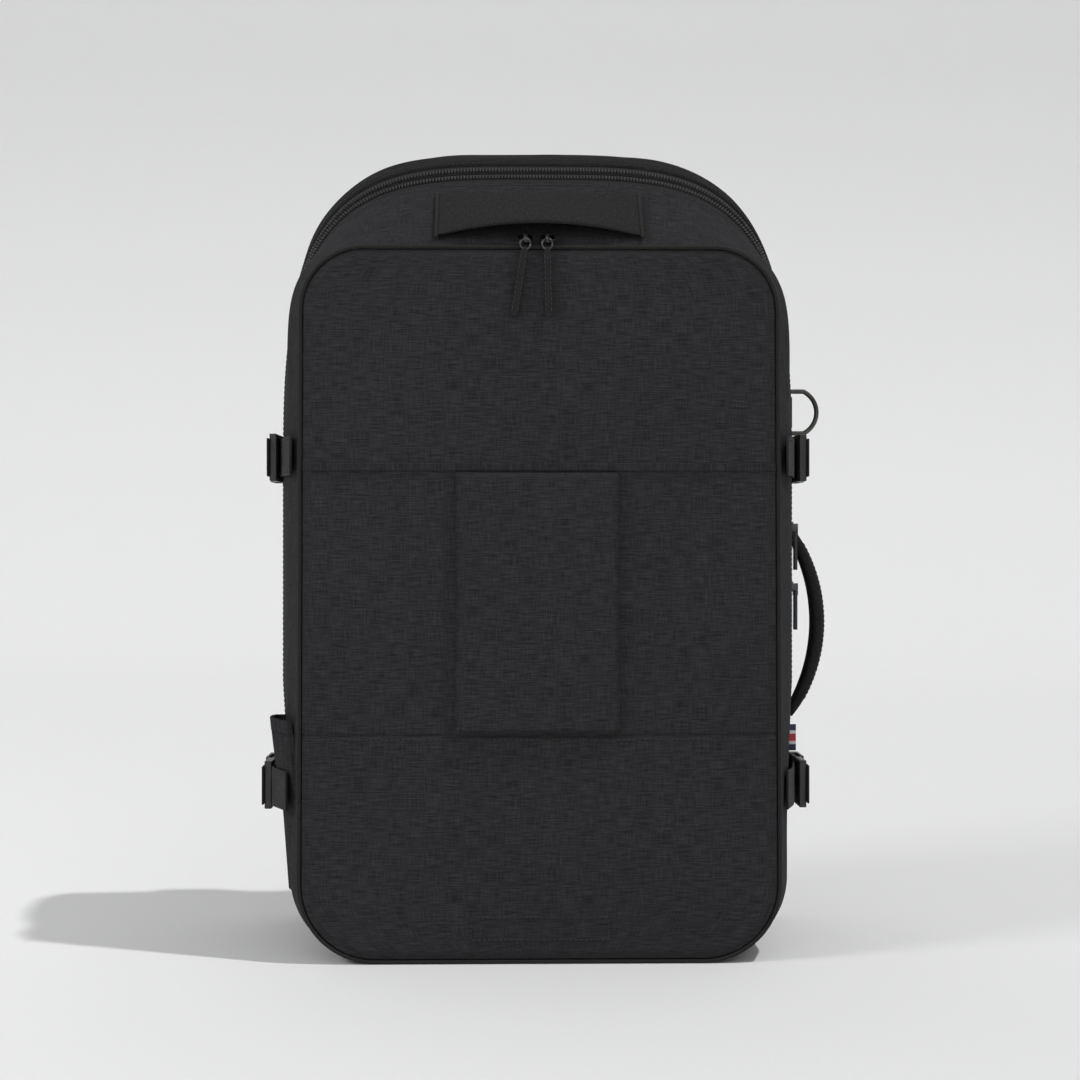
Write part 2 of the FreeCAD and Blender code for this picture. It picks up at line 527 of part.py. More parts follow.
PULL_HANG_DEG = 4.0
FRONT_SLIDERS = {"left": (-9.0, 9.0), "right": (5.0, -1.0)}
for name, (x, slant) in FRONT_SLIDERS.items():
    place = on_slope(0.5, FRONT_SLIDER_OUT, x)
    save("front_slider_" + name, moved(slider_body(), V(1, 0, 0), -(90 - math.degrees(SLOPE)), place))
    ring, tape = ring_and_tape(slant)
    save("front_ring_" + name, moved(ring, V(1, 0, 0), -PULL_HANG_DEG, place))
    save("front_pull_" + name, moved(tape, V(1, 0, 0), -PULL_HANG_DEG, place))

# ---------------------------------------------------------------- inside the rear shell
SHEET_Z0, SHEET_BELOW_TOP = 20.0, 60.0
sheet_y = BACK_Y - BACK_WALL - SNUG - SHEET_T
sheet_x = SIDE_X - 22.0
sheet_keep = box(-sheet_x, sheet_x, sheet_y, sheet_y + SHEET_T, SHEET_Z0, TOP_H - SHEET_BELOW_TOP)
save("frame_sheet", sheet_keep.common(rear_inner))
sleeve_y = FRONT_Y + SLEEVE_DEPTH
sleeve_keep = box(-TALL, TALL, sleeve_y, sleeve_y + SLEEVE_T, 0, SLEEVE_H)
save("laptop_divider", rear_inner.common(sleeve_keep))

# ---------------------------------------------------------------- back padding and shoulder straps
PAD_GAP = 26.0             # air channel between the two pads
PAD_W = SIDE_X - 85.0       # so the lumbar pad ends short of the strap anchors
PAD_Z0, PAD_Z1 = 190.0, 440.0
PAD_CORNER = 24.0
pad_y = BACK_Y + SNUG


def rounded_block(x0, x1, y0, y1, z0, z1, r):
    block = box(x0, x1, y0, y1, z0, z1)
    return block.makeFillet(r, [e for e in block.Edges if abs(e.Length - (y1 - y0)) < 0.01])


pad = rounded_block(PAD_GAP / 2, PAD_GAP / 2 + PAD_W, pad_y, pad_y + PAD_T, PAD_Z0, PAD_Z1, PAD_CORNER)
save("back_pad_right", pad)
save("back_pad_left", mirrored(pad))
LUMBAR_Z0, LUMBAR_Z1 = 70.0, PAD_Z0 - 14
lumbar_x = PAD_GAP / 2 + PAD_W
save("lumbar_pad", rounded_block(-lumbar_x, lumbar_x, pad_y, pad_y + PAD_T, LUMBAR_Z0, LUMBAR_Z1, PAD_CORNER))

YOKE_X, YOKE_T = 84.0, 8.0
YOKE_Z, YOKE_H = 486.0, 24.0
strap_y = pad_y + PAD_T + FIT
save("strap_yoke", box(-YOKE_X, YOKE_X, pad_y, pad_y + YOKE_T, YOKE_Z, YOKE_Z + YOKE_H))
STRAP_PAD_LOW_Z = 196.0


def strap_pad():
    """Shoulder strap lying down the back: an S-shaped outline of two curves, thickened."""
    inner = [(20, YOKE_Z - FIT), (24, 400), (44, 300), (62, STRAP_PAD_LOW_Z)]
    outer = [(108, STRAP_PAD_LOW_Z), (106, 300), (88, 400), (80, YOKE_Z - FIT)]

    def curve(points):
        line = Part.BSplineCurve()
        line.interpolate([V(x, strap_y, z) for x, z in points])
        return line.toShape()

    def across(start, end):
        return Part.LineSegment(V(start[0], strap_y, start[1]), V(end[0], strap_y, end[1])).toShape()
    wire = Part.Wire([curve(inner), across(inner[-1], outer[0]), curve(outer), across(outer[-1], inner[0])])
    return Part.Face(wire).extrude(V(0, SHOULDER_T, 0))


LOCK_W, LOCK_H, LOCK_T = STRAP_W + 8.0, 24.0, 6.0
LOCK_X = 85.0
LOCK_GAP = 0.28 * STRAP_W  # the slanted webbing's upper corner stays clear of the lock
ANCHOR_X, ANCHOR_Z = SIDE_X - 26.0, 66.0
ANCHOR_T = 3.0


def ladder_lock():
    block = box(LOCK_X - LOCK_W / 2, LOCK_X + LOCK_W / 2, strap_y + 2, strap_y + 2 + LOCK_T,
                STRAP_PAD_LOW_Z - LOCK_H, STRAP_PAD_LOW_Z)
    slots = [box(LOCK_X - STRAP_W / 2 - 0.5, LOCK_X + STRAP_W / 2 + 0.5, strap_y, strap_y + 10, z, z + 4)
             for z in (STRAP_PAD_LOW_Z - 10, STRAP_PAD_LOW_Z - 19)]
    return block.cut(group(slots))


def lower_webbing():
    """From the ladder lock down to the anchor at the bag's lower rear corner."""
    top = V(LOCK_X + 3, strap_y + 3, STRAP_PAD_LOW_Z - LOCK_H - LOCK_GAP)
    low = V(ANCHOR_X - 8, strap_y + 3, ANCHOR_Z + 20)
    along = low.sub(top)
    side = V(along.z, 0, -along.x).normalize() * (STRAP_W / 2)
    return prism([top + side, low + side, low - side, top - side], V(0, STRAP_T, 0))


def anchor():
    """Triangular wing sewn into the rear corner, its outer edge just past the side."""
    corners = [(ANCHOR_X - 26, ANCHOR_Z + 14), (ANCHOR_X + 2, ANCHOR_Z + 18), (LOW_X + 2, ANCHOR_Z + 2),
               (LOW_X + 2, ANCHOR_Z - 16), (ANCHOR_X - 10, ANCHOR_Z - 20)]
    return prism([V(x, pad_y, z) for x, z in corners], V(0, ANCHOR_T, 0))


for name, flip in (("right", False), ("left", True)):
    save("shoulder_pad_" + name, placed(strap_pad(), flip))
    save("ladder_lock_" + name, placed(ladder_lock(), flip))
    save("lower_webbing_" + name, placed(lower_webbing(), flip))
    save("strap_anchor_" + name, placed(anchor(), flip))
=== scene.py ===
# %% [markdown]
# # A travel backpack, sewn in numpy
# The bag is two fabric tubs that meet at a long zip, with a flap in front, handles on the top and the
# side, four clip straps, and pads on the back. The hard and soft parts are already packed as a fixed
# frame of simple solids, in metres, with +Z up and the front facing -Y. Each cell below makes one kind
# of piece around that frame. The frame tells where things are, so nothing has to be fitted by eye.

# %% Load the frame
import json
import math
import bmesh
import bpy
import numpy as np
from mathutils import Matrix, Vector


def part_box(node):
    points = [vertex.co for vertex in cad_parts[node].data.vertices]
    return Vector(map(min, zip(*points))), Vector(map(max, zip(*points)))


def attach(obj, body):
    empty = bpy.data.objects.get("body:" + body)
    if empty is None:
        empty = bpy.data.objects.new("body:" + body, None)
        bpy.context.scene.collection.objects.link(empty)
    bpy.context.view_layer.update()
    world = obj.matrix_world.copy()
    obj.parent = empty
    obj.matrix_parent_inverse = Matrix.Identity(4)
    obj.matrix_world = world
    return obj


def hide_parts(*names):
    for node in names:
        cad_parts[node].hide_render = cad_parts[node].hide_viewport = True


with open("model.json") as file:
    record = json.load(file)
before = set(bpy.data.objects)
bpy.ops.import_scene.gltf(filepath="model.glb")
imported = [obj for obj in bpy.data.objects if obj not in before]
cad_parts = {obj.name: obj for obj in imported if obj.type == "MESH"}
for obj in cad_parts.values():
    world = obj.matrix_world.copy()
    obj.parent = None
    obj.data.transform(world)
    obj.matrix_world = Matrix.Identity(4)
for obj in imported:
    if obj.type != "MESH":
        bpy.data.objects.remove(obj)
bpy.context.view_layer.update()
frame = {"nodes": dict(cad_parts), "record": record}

MM = 0.001

# %% [markdown]
# ## From an array to a mesh
# Cloth, webbing and rope all unroll onto a grid of rows and columns. So one helper turns a grid of
# points into quads, writes a UV map in metres that follows the threads, and makes the faces point away
# from a given place. Modifiers then add thickness, which keeps the formulas about the shape alone.

# %% Grid and mesh helpers
BAG_HEART = np.array([0.0, -0.01, 0.26])     # a point inside the bag, which every skin faces away from
WELD_GAP = 1e-6


def put_mesh(name, points, faces, uv=None, uv_faces=None, heart=None):
    """An object from points (n, 3) and faces (f, 4). Faces that mostly look towards heart are turned over."""
    points = np.asarray(points, float)
    faces = np.asarray(faces)
    uv_faces = faces if uv_faces is None else np.asarray(uv_faces)
    heart = points.mean(0) if heart is None else np.asarray(heart)
    a, b, c = points[faces[:, 0]], points[faces[:, 1]], points[faces[:, 2]]
    d = points[faces[:, -1]]
    normals = np.cross(c - a, d - b)
    if (normals * (a + c - 2 * heart)).sum() < 0:
        faces, uv_faces = faces[:, ::-1], uv_faces[:, ::-1]
    mesh = bpy.data.meshes.new(name)
    mesh.from_pydata(points.tolist(), [], faces.tolist())
    if uv is not None:
        layer = mesh.uv_layers.new(name="cloth")
        layer.data.foreach_set("uv", np.asarray(uv, float)[uv_faces.ravel()].ravel())
    mesh.polygons.foreach_set("use_smooth", np.full(len(mesh.polygons), True))
    mesh.update()
    piece = bpy.data.objects.new(name, mesh)
    bpy.context.scene.collection.objects.link(piece)
    return piece


def grid_faces(rows, columns, wrap=False):
    """Corner numbers of every quad of a grid; wrap joins the last column to the first."""
    i = np.arange(rows - 1)[:, None]
    j = np.arange(columns if wrap else columns - 1)[None, :]
    k = (j + 1) % columns
    quads = np.broadcast_arrays(i * columns + j, i * columns + k,
                                (i + 1) * columns + k, (i + 1) * columns + j)
    return np.stack(quads, -1).reshape(-1, 4)


def run_lengths(points, axis):
    """Distance walked along one axis of a grid of points, from its first row or column."""
    steps = np.linalg.norm(np.diff(points, axis=axis), axis=-1)
    walked = np.cumsum(steps, axis=axis)
    start = np.zeros_like(np.take(walked, [0], axis=axis))
    return np.concatenate([start, walked], axis=axis)


def cloth_grid(name, grid, wrap=False, heart=None):
    """A sheet from a grid (rows, columns, 3). Its UV is the mean walked length along each way, in metres."""
    rows, columns = grid.shape[:2]
    ring = np.concatenate([grid, grid[:, :1]], 1) if wrap else grid
    u = np.broadcast_to(run_lengths(ring, 1).mean(0)[None, :], ring.shape[:2])
    v = np.broadcast_to(run_lengths(ring, 0).mean(1)[:, None], ring.shape[:2])
    uv = np.stack([u - u.mean(), v], -1).reshape(-1, 2)
    return put_mesh(name, grid.reshape(-1, 3), grid_faces(rows, columns, wrap), uv,
                    grid_faces(rows, ring.shape[1]), heart)


def closed_grid(name, grid):
    """A tube from a grid whose columns go round, with its first and last rows closed by flat caps."""
    piece = cloth_grid(name, grid, wrap=True)
    work = bmesh.new()
    work.from_mesh(piece.data)
    bmesh.ops.holes_fill(work, edges=[e for e in work.edges if e.is_boundary], sides=0)
    bmesh.ops.recalc_face_normals(work, faces=work.faces)
    work.to_mesh(piece.data)
    work.free()
    return piece


def weld(piece, turn_out=False):
    """Joins points that coincide. turn_out also makes the faces of a closed piece point outwards."""
    work = bmesh.new()
    work.from_mesh(piece.data)
    bmesh.ops.remove_doubles(work, verts=work.verts, dist=WELD_GAP)
    if turn_out:
        bmesh.ops.recalc_face_normals(work, faces=work.faces)
    work.to_mesh(piece.data)
    work.free()
    return piece


def thicken(piece, depth, inner_slot=0, rim_slot=0):
    """Gives a sheet its thickness, inwards from the face it shows."""
    wall = piece.modifiers.new("wall", "SOLIDIFY")
    wall.thickness = depth
    wall.offset = -1.0
    wall.use_even_offset = True
    wall.material_offset = inner_slot
    wall.material_offset_rim = rim_slot
    return piece


def settle(piece, materials, body, slot, *stands_for):
    """Puts the finish on, and says which body carries the piece and which CAD nodes it stands for."""
    for finish in materials if isinstance(materials, (list, tuple)) else [materials]:
        piece.data.materials.append(finish)
    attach(piece, body)
    if stands_for:
        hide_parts(*stands_for)
    return piece


print("helpers ready")

# %% [markdown]
# ## Finishes
# The shell is a matt polyester melange: grey and black yarns, thicker here and thinner there, that
# cross at right angles. Long thin noise, stretched one way for the weft and the other way for the warp,
# gives those slubs, and both the colour and the bump read it. The pattern reads the UV map in metres, so
# the threads turn with the cloth at every seam. Pads whose mesh is remade by a simulation have no UV
# map, so they read Object coordinates instead.

# %% Node helpers
def node(tree, kind, **inputs):
    """A shader node with some of its sockets set, given as name=value with _ for a space."""
    made = tree.nodes.new(kind)
    for key, value in inputs.items():
        made.inputs[key.replace("_", " ")].default_value = value
    return made


def math_node(tree, operation, a, b):
    """One sum, product or other step, where a and b are sockets or numbers."""
    made = tree.nodes.new("ShaderNodeMath")
    made.operation = operation
    for socket, value in zip(made.inputs, (a, b)):
        if isinstance(value, (int, float)):
            socket.default_value = value
        else:
            tree.links.new(value, socket)
    return made.outputs[0]


def new_finish(name, roughness, metallic=0.0, sheen=0.0, specular=0.5):
    """A material with one shader, whose even values sit on the shader's own sockets."""
    finish = bpy.data.materials.new(name)
    finish.use_nodes = True
    shader = finish.node_tree.nodes["Principled BSDF"]
    shader.inputs["Roughness"].default_value = roughness
    shader.inputs["Metallic"].default_value = metallic
    shader.inputs["Sheen Weight"].default_value = sheen
    shader.inputs["Specular IOR Level"].default_value = specular
    return finish, finish.node_tree, shader


def place_socket(tree, use_uv):
    """Where the pattern is: the cloth's own UV map in metres, or the object's coordinates."""
    if use_uv:
        source = tree.nodes.new("ShaderNodeUVMap")
        source.uv_map = "cloth"
        return source.outputs["UV"]
    return tree.nodes.new("ShaderNodeTexCoord").outputs["Object"]


def stretched_noise(tree, place, scale, detail=2.0):
    """Noise whose grain is scale[k] cells per metre along each axis."""
    mapping = node(tree, "ShaderNodeMapping", Scale=scale)
    tree.links.new(place, mapping.inputs["Vector"])
    noise = node(tree, "ShaderNodeTexNoise", Scale=1.0, Detail=detail, Roughness=0.6)
    tree.links.new(mapping.outputs["Vector"], noise.inputs["Vector"])
    return noise.outputs["Fac"]


def coloured(tree, shader, factor, stops):
    """A colour ramp from a factor to the shader's base colour. stops are (place, grey or (r, g, b))."""
    ramp = tree.nodes.new("ShaderNodeValToRGB")
    while len(ramp.color_ramp.elements) < len(stops):
        ramp.color_ramp.elements.new(0.5)
    for element, (place, colour) in zip(ramp.color_ramp.elements, stops):
        rgb = colour if isinstance(colour, tuple) else (colour,) * 3
        element.position = place
        element.color = (*rgb, 1.0)
    tree.links.new(factor, ramp.inputs["Fac"])
    tree.links.new(ramp.outputs["Color"], shader.inputs["Base Color"])
    return ramp


def bumped(tree, shader, height, depth):
    """Bump of a given depth in metres."""
    bump = node(tree, "ShaderNodeBump", Strength=1.0, Distance=depth)
    tree.links.new(height, bump.inputs["Height"])
    tree.links.new(bump.outputs["Normal"], shader.inputs["Normal"])


print("node helpers ready")

# %% [markdown]
# ### Cloth, webbing and mesh
# One recipe makes every woven finish: two slub noises give the colour, a fine plain weave is added to
# the bump, and only the numbers change. Webbing has ribs across its run, made by a wave along u, which also
# paints each rib lighter on its crest and darker between ribs as painted shade.

# %% Woven finishes
WEAVE_PITCH = 0.9 * MM
WEFT_SHARE, WARP_SHARE, CLOUD_SHARE = 0.62, 0.38, 0.05


def scaled(tree, a, b):
    """The product of two sockets, or of a socket and a number."""
    return math_node(tree, "MULTIPLY", a, b)


def wave(tree, place, pitch):
    """A sine of one coordinate, with one full turn every pitch metres."""
    return math_node(tree, "SINE", scaled(tree, place, 2 * math.pi / pitch), 0.0)


def woven(name, dark, light, slub=(85.0, 1300.0), depth=0.00016, rough=0.95, use_uv=True):
    """Plain weave: crossing slub noises blend dark to light, and a product of sines lifts the threads."""
    finish, tree, shader = new_finish(name, rough, specular=0.1)
    place = place_socket(tree, use_uv)
    long, fine = slub
    if use_uv:
        weft = stretched_noise(tree, place, (long, fine, 1.0))
        warp = stretched_noise(tree, place, (fine, long, 1.0))
    else:
        weft = stretched_noise(tree, place, (long, long, fine))
        warp = stretched_noise(tree, place, (fine, fine, long))
    slubs = math_node(tree, "ADD", scaled(tree, weft, WEFT_SHARE), scaled(tree, warp, WARP_SHARE))
    cloud = stretched_noise(tree, place, (9.0, 9.0, 9.0), detail=1.0)
    mixed = math_node(tree, "ADD", slubs, scaled(tree, cloud, CLOUD_SHARE))
    between = tuple((a + b) / 2 for a, b in zip(dark, light))
    coloured(tree, shader, mixed, [(0.42, dark), (0.55, between), (0.69, light)])
    split = tree.nodes.new("ShaderNodeSeparateXYZ")
    tree.links.new(place, split.inputs[0])
    over, under = split.outputs[0], split.outputs[1 if use_uv else 2]
    threads = scaled(tree, wave(tree, over, WEAVE_PITCH), wave(tree, under, WEAVE_PITCH))
    bumped(tree, shader, math_node(tree, "ADD", slubs, scaled(tree, threads, 0.25)), depth)
    return finish


def ribbed(name, dark, light, pitch_mm, depth, rough=0.8, sheen=0.04):
    """Webbing: fine ribs along u, painted lighter on their crests and darker between them as painted shade,
    with small knots of lighter yarn on each rib.
    """
    finish, tree, shader = new_finish(name, rough, sheen=sheen, specular=0.3)
    place = place_socket(tree, True)
    split = tree.nodes.new("ShaderNodeSeparateXYZ")
    tree.links.new(place, split.inputs[0])
    rib = wave(tree, split.outputs[0], pitch_mm * MM)
    yarn = stretched_noise(tree, place, (500.0, 500.0, 1.0))
    # painted shade: the rib wave also feeds the colour ramp, so each rib is lighter on its crest and darker
    # in the groove between ribs
    ribs = math_node(tree, "ADD", scaled(tree, rib, 0.25), yarn)
    coloured(tree, shader, ribs, [(0.25, dark), (0.8, light)])
    bumped(tree, shader, ribs, depth)
    return finish


def grey(value, cool=1.0):
    """A dark neutral with a slightly cool cast."""
    return (value, value * (1 + 0.008 * cool), value * (1 + 0.06 * cool))


MELANGE = woven("melange cloth", grey(0.0165, 1.3), grey(0.0415, 1.3))
# painted shade: the rear shell is the same melange as the lid, made darker so that its sides and back look
# shaded
MELANGE_PAINTED_SHADE = woven("rear melange painted shade", grey(0.0082), grey(0.0215))
SMOOTH_CLOTH = woven("handle cloth", grey(0.017), grey(0.030), slub=(250.0, 900.0), depth=0.00012)
PAD_CLOTH = woven("pad cloth", grey(0.0175), grey(0.040), use_uv=False)
LINING = woven("lining", (0.16, 0.165, 0.175), (0.25, 0.255, 0.27), slub=(60.0, 900.0), depth=0.00008,
               rough=0.6)
BINDING = ribbed("binding tape", (0.008, 0.0085, 0.0075), (0.019, 0.020, 0.0175), 1.1, 0.00015,
                 rough=0.9, sheen=0.02)
WEBBING = ribbed("webbing", (0.006, 0.006, 0.0062), (0.017, 0.017, 0.0175), 1.7, 0.0003)
ZIP_TAPE = ribbed("zip tape", (0.006, 0.006, 0.0065), (0.014, 0.014, 0.015), 0.9, 0.0001)
THREAD = ribbed("sewing thread", (0.014, 0.0145, 0.015), (0.034, 0.0345, 0.036), 0.4, 0.00005, rough=0.6)
print("woven finishes", len(bpy.data.materials))

# %% [markdown]
# ### Hard finishes
# Buckles are moulded olive-grey acetal with a faint spark-eroded grain. The D-ring and the sliders are
# plated metal: smooth, but with fine scuffs in the roughness. All read Object coordinates, because these
# pieces have no threads to follow.

# %% Moulded and plated finishes
GRAIN = 900.0              # cells per metre


def moulded(name, dark, light, rough, depth=0.00006, metallic=0.0):
    """Fine even grain in the bump, and larger clouds in colour and roughness."""
    finish, tree, shader = new_finish(name, rough, metallic=metallic)
    place = place_socket(tree, False)
    clouds = stretched_noise(tree, place, (120.0,) * 3, detail=3.0)
    coloured(tree, shader, clouds, [(0.35, dark), (0.7, light)])
    fine = stretched_noise(tree, place, (GRAIN,) * 3)
    spread = tree.nodes.new("ShaderNodeMapRange")
    tree.links.new(clouds, spread.inputs["Value"])
    spread.inputs["To Min"].default_value = rough * 0.8
    spread.inputs["To Max"].default_value = rough * 1.25
    tree.links.new(spread.outputs[0], shader.inputs["Roughness"])
    bumped(tree, shader, fine, depth)
    return finish


BUCKLE = moulded("buckle plastic", (0.018, 0.0185, 0.016), (0.033, 0.034, 0.029), 0.42)
PULL_PLASTIC = moulded("pull plastic", (0.008, 0.008, 0.0085), (0.016, 0.016, 0.017), 0.38)
COIL = moulded("zip coil", (0.006, 0.006, 0.0068), (0.013, 0.013, 0.0145), 0.5, depth=0.00002)
GUNMETAL = moulded("gunmetal", (0.05, 0.05, 0.052), (0.11, 0.11, 0.115), 0.30, depth=0.00001, metallic=1.0)
RING_METAL = moulded("plated wire", (0.055, 0.058, 0.048), (0.10, 0.105, 0.088), 0.38, depth=0.00002,
                     metallic=0.8)
SHEET = moulded("stiffening sheet", (0.012, 0.012, 0.013), (0.022, 0.022, 0.023), 0.5)


def mesh_padding(name):
    """Spacer mesh: round eyelets in rows, from a cell pattern, sunk in the bump and painted darker than the
    knit between them as painted shade inside the holes.
    """
    finish, tree, shader = new_finish(name, 0.8, sheen=0.2)
    place = place_socket(tree, False)
    cells = node(tree, "ShaderNodeTexVoronoi", Scale=330.0, Randomness=0.15)
    tree.links.new(place, cells.inputs["Vector"])
    # painted shade: the eyelets are coloured darker where the cell pattern sinks them, as shade inside the
    # holes
    coloured(tree, shader, cells.outputs["Distance"], [(0.12, 0.006), (0.35, 0.030), (0.6, 0.036)])
    bumped(tree, shader, cells.outputs["Distance"], 0.0006)
    return finish


SPACER = mesh_padding("spacer mesh")
print("all finishes", len(bpy.data.materials))

# %% [markdown]
# ## The shape of the bag
# Each section of the bag is a closed curve: a flat base, round bottom corners, sides that lean out a
# little, and a rounded top. It is worked out for the right half, walked at even steps, and mirrored, so
# the same column of the grid stays in the same part of every section. The sections are then stacked
# from the front panel to the back, and a short running mean over the depth rounds the ridge at each.

# %% Sections and the skin through them
FRONT_Y = -0.105
SIDE_X, LOW_X, PANEL_X, PANEL_H = 0.169, 0.1615, 0.154, 0.457
CORNER_LOW, CORNER_PANEL, LOW_Z = 0.050, 0.042, 0.175
PIPING = 0.003
TOP_SETBACK = 0.015        # the front panel's top edge lies this far behind its foot
LEAN = math.atan(TOP_SETBACK / PANEL_H)
ZIP_FRONT_D, SPLIT_D, ZIP_REAR_D, SHELL_DEPTH = 0.065, 0.075, 0.085, 0.180
ZIP_FRONT_TOP = 0.503
HALF_STEPS = 210           # points down one half of each section
# depth, half width, height of the top, height where the shoulder starts, squareness of the shoulder
SECTIONS = [(0.034, 0.163, 0.4737, 0.385, 3.6), (ZIP_FRONT_D, SIDE_X, ZIP_FRONT_TOP, 0.300, 3.6),
            (SPLIT_D, SIDE_X, 0.5135, 0.300, 3.65), (ZIP_REAR_D, SIDE_X, 0.5235, 0.310, 3.7),
            (0.115, SIDE_X, 0.533, 0.330, 3.7), (0.160, SIDE_X, 0.542, 0.330, 3.7),
            (SHELL_DEPTH, 0.160, 0.535, 0.330, 3.7)]


def lean_back(x, depth, height):
    """A point of the upright front plane, tipped about the foot of the piping to the panel's lean."""
    d = depth - PIPING - 0.0001
    y = FRONT_Y + PIPING + 0.0001 + d * math.cos(LEAN) + height * math.sin(LEAN)
    z = height * math.cos(LEAN) - d * math.sin(LEAN)
    return np.stack(np.broadcast_arrays(x, y, z), -1)


def walked_evenly(x, z, steps):
    """The same curve with its points at equal distances along it."""
    length = np.concatenate([[0.0], np.cumsum(np.hypot(np.diff(x), np.diff(z)))])
    at = np.linspace(0, length[-1], steps)
    return np.interp(at, length, x), np.interp(at, length, z)


def half_section(half, low, top, shoulder, power, inset, panel=False):
    """Right half of a section: base, corner arc, sides, then a superellipse or the panel's own corner arc."""
    w, lw, zt, r = half - inset, low - inset, top - inset, CORNER_LOW - inset
    arc = np.linspace(0, math.pi / 2, 60)
    x = [np.linspace(0, lw - r, 60), lw - r + r * np.sin(arc), [w]]
    z = [np.full(60, inset), inset + r - r * np.cos(arc), [LOW_Z]]
    if panel:
        rt = CORNER_PANEL - inset
        x += [w - rt + rt * np.cos(arc), [0.0]]
        z += [zt - rt + rt * np.sin(arc), [zt]]
    else:
        t = np.linspace(0, 1, 300) ** 1.6 * math.pi / 2
        x += [w * np.cos(t) ** (2 / power)]
        z += [shoulder + (zt - shoulder) * np.sin(t) ** (2 / power)]
    return walked_evenly(np.concatenate(x), np.concatenate(z), HALF_STEPS)


def stacked_sections(inset):
    """Nominal depths (k,) and points (k, columns, 3) of the panel section and every section behind it."""
    depths, rings = [PIPING + 0.0001], []
    x, z = half_section(PANEL_X, PANEL_X, PANEL_H, 0, 0, inset, panel=True)
    rings.append(lean_back(np.concatenate([x, -x[-2:0:-1]]), depths[0], np.concatenate([z, z[-2:0:-1]])))
    for depth, half, top, shoulder, power in SECTIONS:
        x, z = half_section(half, min(LOW_X, half), top, shoulder, power, inset)
        ring = np.stack([np.concatenate([x, -x[-2:0:-1]]), np.full(2 * HALF_STEPS - 2, FRONT_Y + depth),
                         np.concatenate([z, z[-2:0:-1]])], -1)
        depths.append(depth)
        rings.append(ring)
    return np.array(depths), np.array(rings)


def skin(depths, inset=0.0, soften=0.005):
    """Points of the bag's skin at given depths: straight between sections, then a running mean over depth."""
    nodes_d, rings = stacked_sections(inset)
    total = 0.0
    offsets = np.linspace(-soften, soften, 7)
    for offset in offsets:
        d = np.asarray(depths) + offset
        low = np.clip(np.searchsorted(nodes_d, d) - 1, 0, len(nodes_d) - 2)
        f = ((d - nodes_d[low]) / (nodes_d[low + 1] - nodes_d[low]))[:, None, None]
        total = total + rings[low] * (1 - f) + rings[low + 1] * f
    return total / len(offsets)


def outward(grid):
    """Unit normals of a wrapped grid, away from the heart of the bag."""
    along = np.gradient(grid, axis=0)
    around = np.roll(grid, -1, 1) - np.roll(grid, 1, 1)
    n = np.cross(along, around)
    n /= np.linalg.norm(n, axis=-1, keepdims=True) + 1e-12
    sign = np.sign(((grid - BAG_HEART) * n).sum(-1, keepdims=True))
    return n * sign


def smooth(edge0, edge1, value):
    """0 before edge0, 1 after edge1, and an even S between them."""
    t = np.clip((value - edge0) / (edge1 - edge0), 0, 1)
    return t * t * (3 - 2 * t)


def ripples(a, b, seed, size, waves=7, shortest=0.04, longest=0.16):
    """Soft unevenness of cloth: a sum of plane waves in mixed directions, each about size / waves high."""
    draw = np.random.default_rng(seed)
    total = np.zeros(np.broadcast(a, b).shape)
    for _ in range(waves):
        turn, wave = draw.uniform(0, math.pi), draw.uniform(shortest, longest)
        phase = draw.uniform(0, 2 * math.pi)
        total += np.sin((a * math.cos(turn) + b * math.sin(turn)) * 2 * math.pi / wave + phase)
    return total * size / waves


print("outline walked", 2 * HALF_STEPS - 2, "columns")

# %% [markdown]
# ## Lid and rear shell
# Both tubs are one continuous skin each, thickened inwards like foam-backed cloth, with lining on the
# inner face and a bound edge. The cloth slackens between its seams, which is a gentle ripple along the
# normal that dies away at every seam. Where the zip tape is laid on, the cloth steps down to make room.

# %% The two tubs
ZIP_END_Z = 0.045
SPLIT_GAP = 0.0003
COVER_FRONT_D, COVER_REAR_D = 0.0677, 0.0823   # the cloth is folded back here, beside the coil
TAPE_STEP = 0.0020


def slackened(depths, seams, seed, amount):
    """The skin moved along its normal by ripples that vanish at each seam depth and near the floor."""
    grid = skin(depths)
    d = np.asarray(depths)[:, None]
    free = np.ones_like(d)
    for seam in seams:
        free = free * smooth(0.0, 0.012, np.abs(d - seam))
    lift = ripples(d * 1.0, run_lengths(grid, 1), seed, amount) * free * smooth(0.004, 0.03, grid[..., 2])
    tape = smooth(0.0, 0.0012, d - COVER_FRONT_D) * smooth(0.0, 0.0012, COVER_REAR_D - d)
    step = tape * smooth(ZIP_END_Z - 0.002, ZIP_END_Z + 0.002, grid[..., 2]) * TAPE_STEP
    return grid + outward(grid) * (lift - step)[..., None]


def lid_skin():
    """Rows from the front panel's seam to the split."""
    rows = np.concatenate([np.linspace(0.0031, 0.063, 34), np.linspace(0.0640, SPLIT_D - SPLIT_GAP, 19)])
    return slackened(rows, (0.003, ZIP_FRONT_D, SPLIT_D), 11, 0.0009)


def rear_skin():
    """Rows from the split to the back edge, then rings that close the flat back to its middle."""
    rows = np.concatenate([np.linspace(SPLIT_D + SPLIT_GAP, 0.0858, 19), np.linspace(0.088, SHELL_DEPTH, 44)])
    side = slackened(rows, (SPLIT_D, ZIP_REAR_D, 0.160, SHELL_DEPTH), 12, 0.0011)
    middle = np.array([0.0, side[-1, 0, 1], 0.26])
    shrink = np.concatenate([[0.995, 0.985, 0.965], np.linspace(0.93, 0.0, 24)])[:, None, None]
    back = middle + (side[-1][None] - middle) * shrink
    back[..., 1] = side[-1, 0, 1]
    return np.concatenate([side, back])


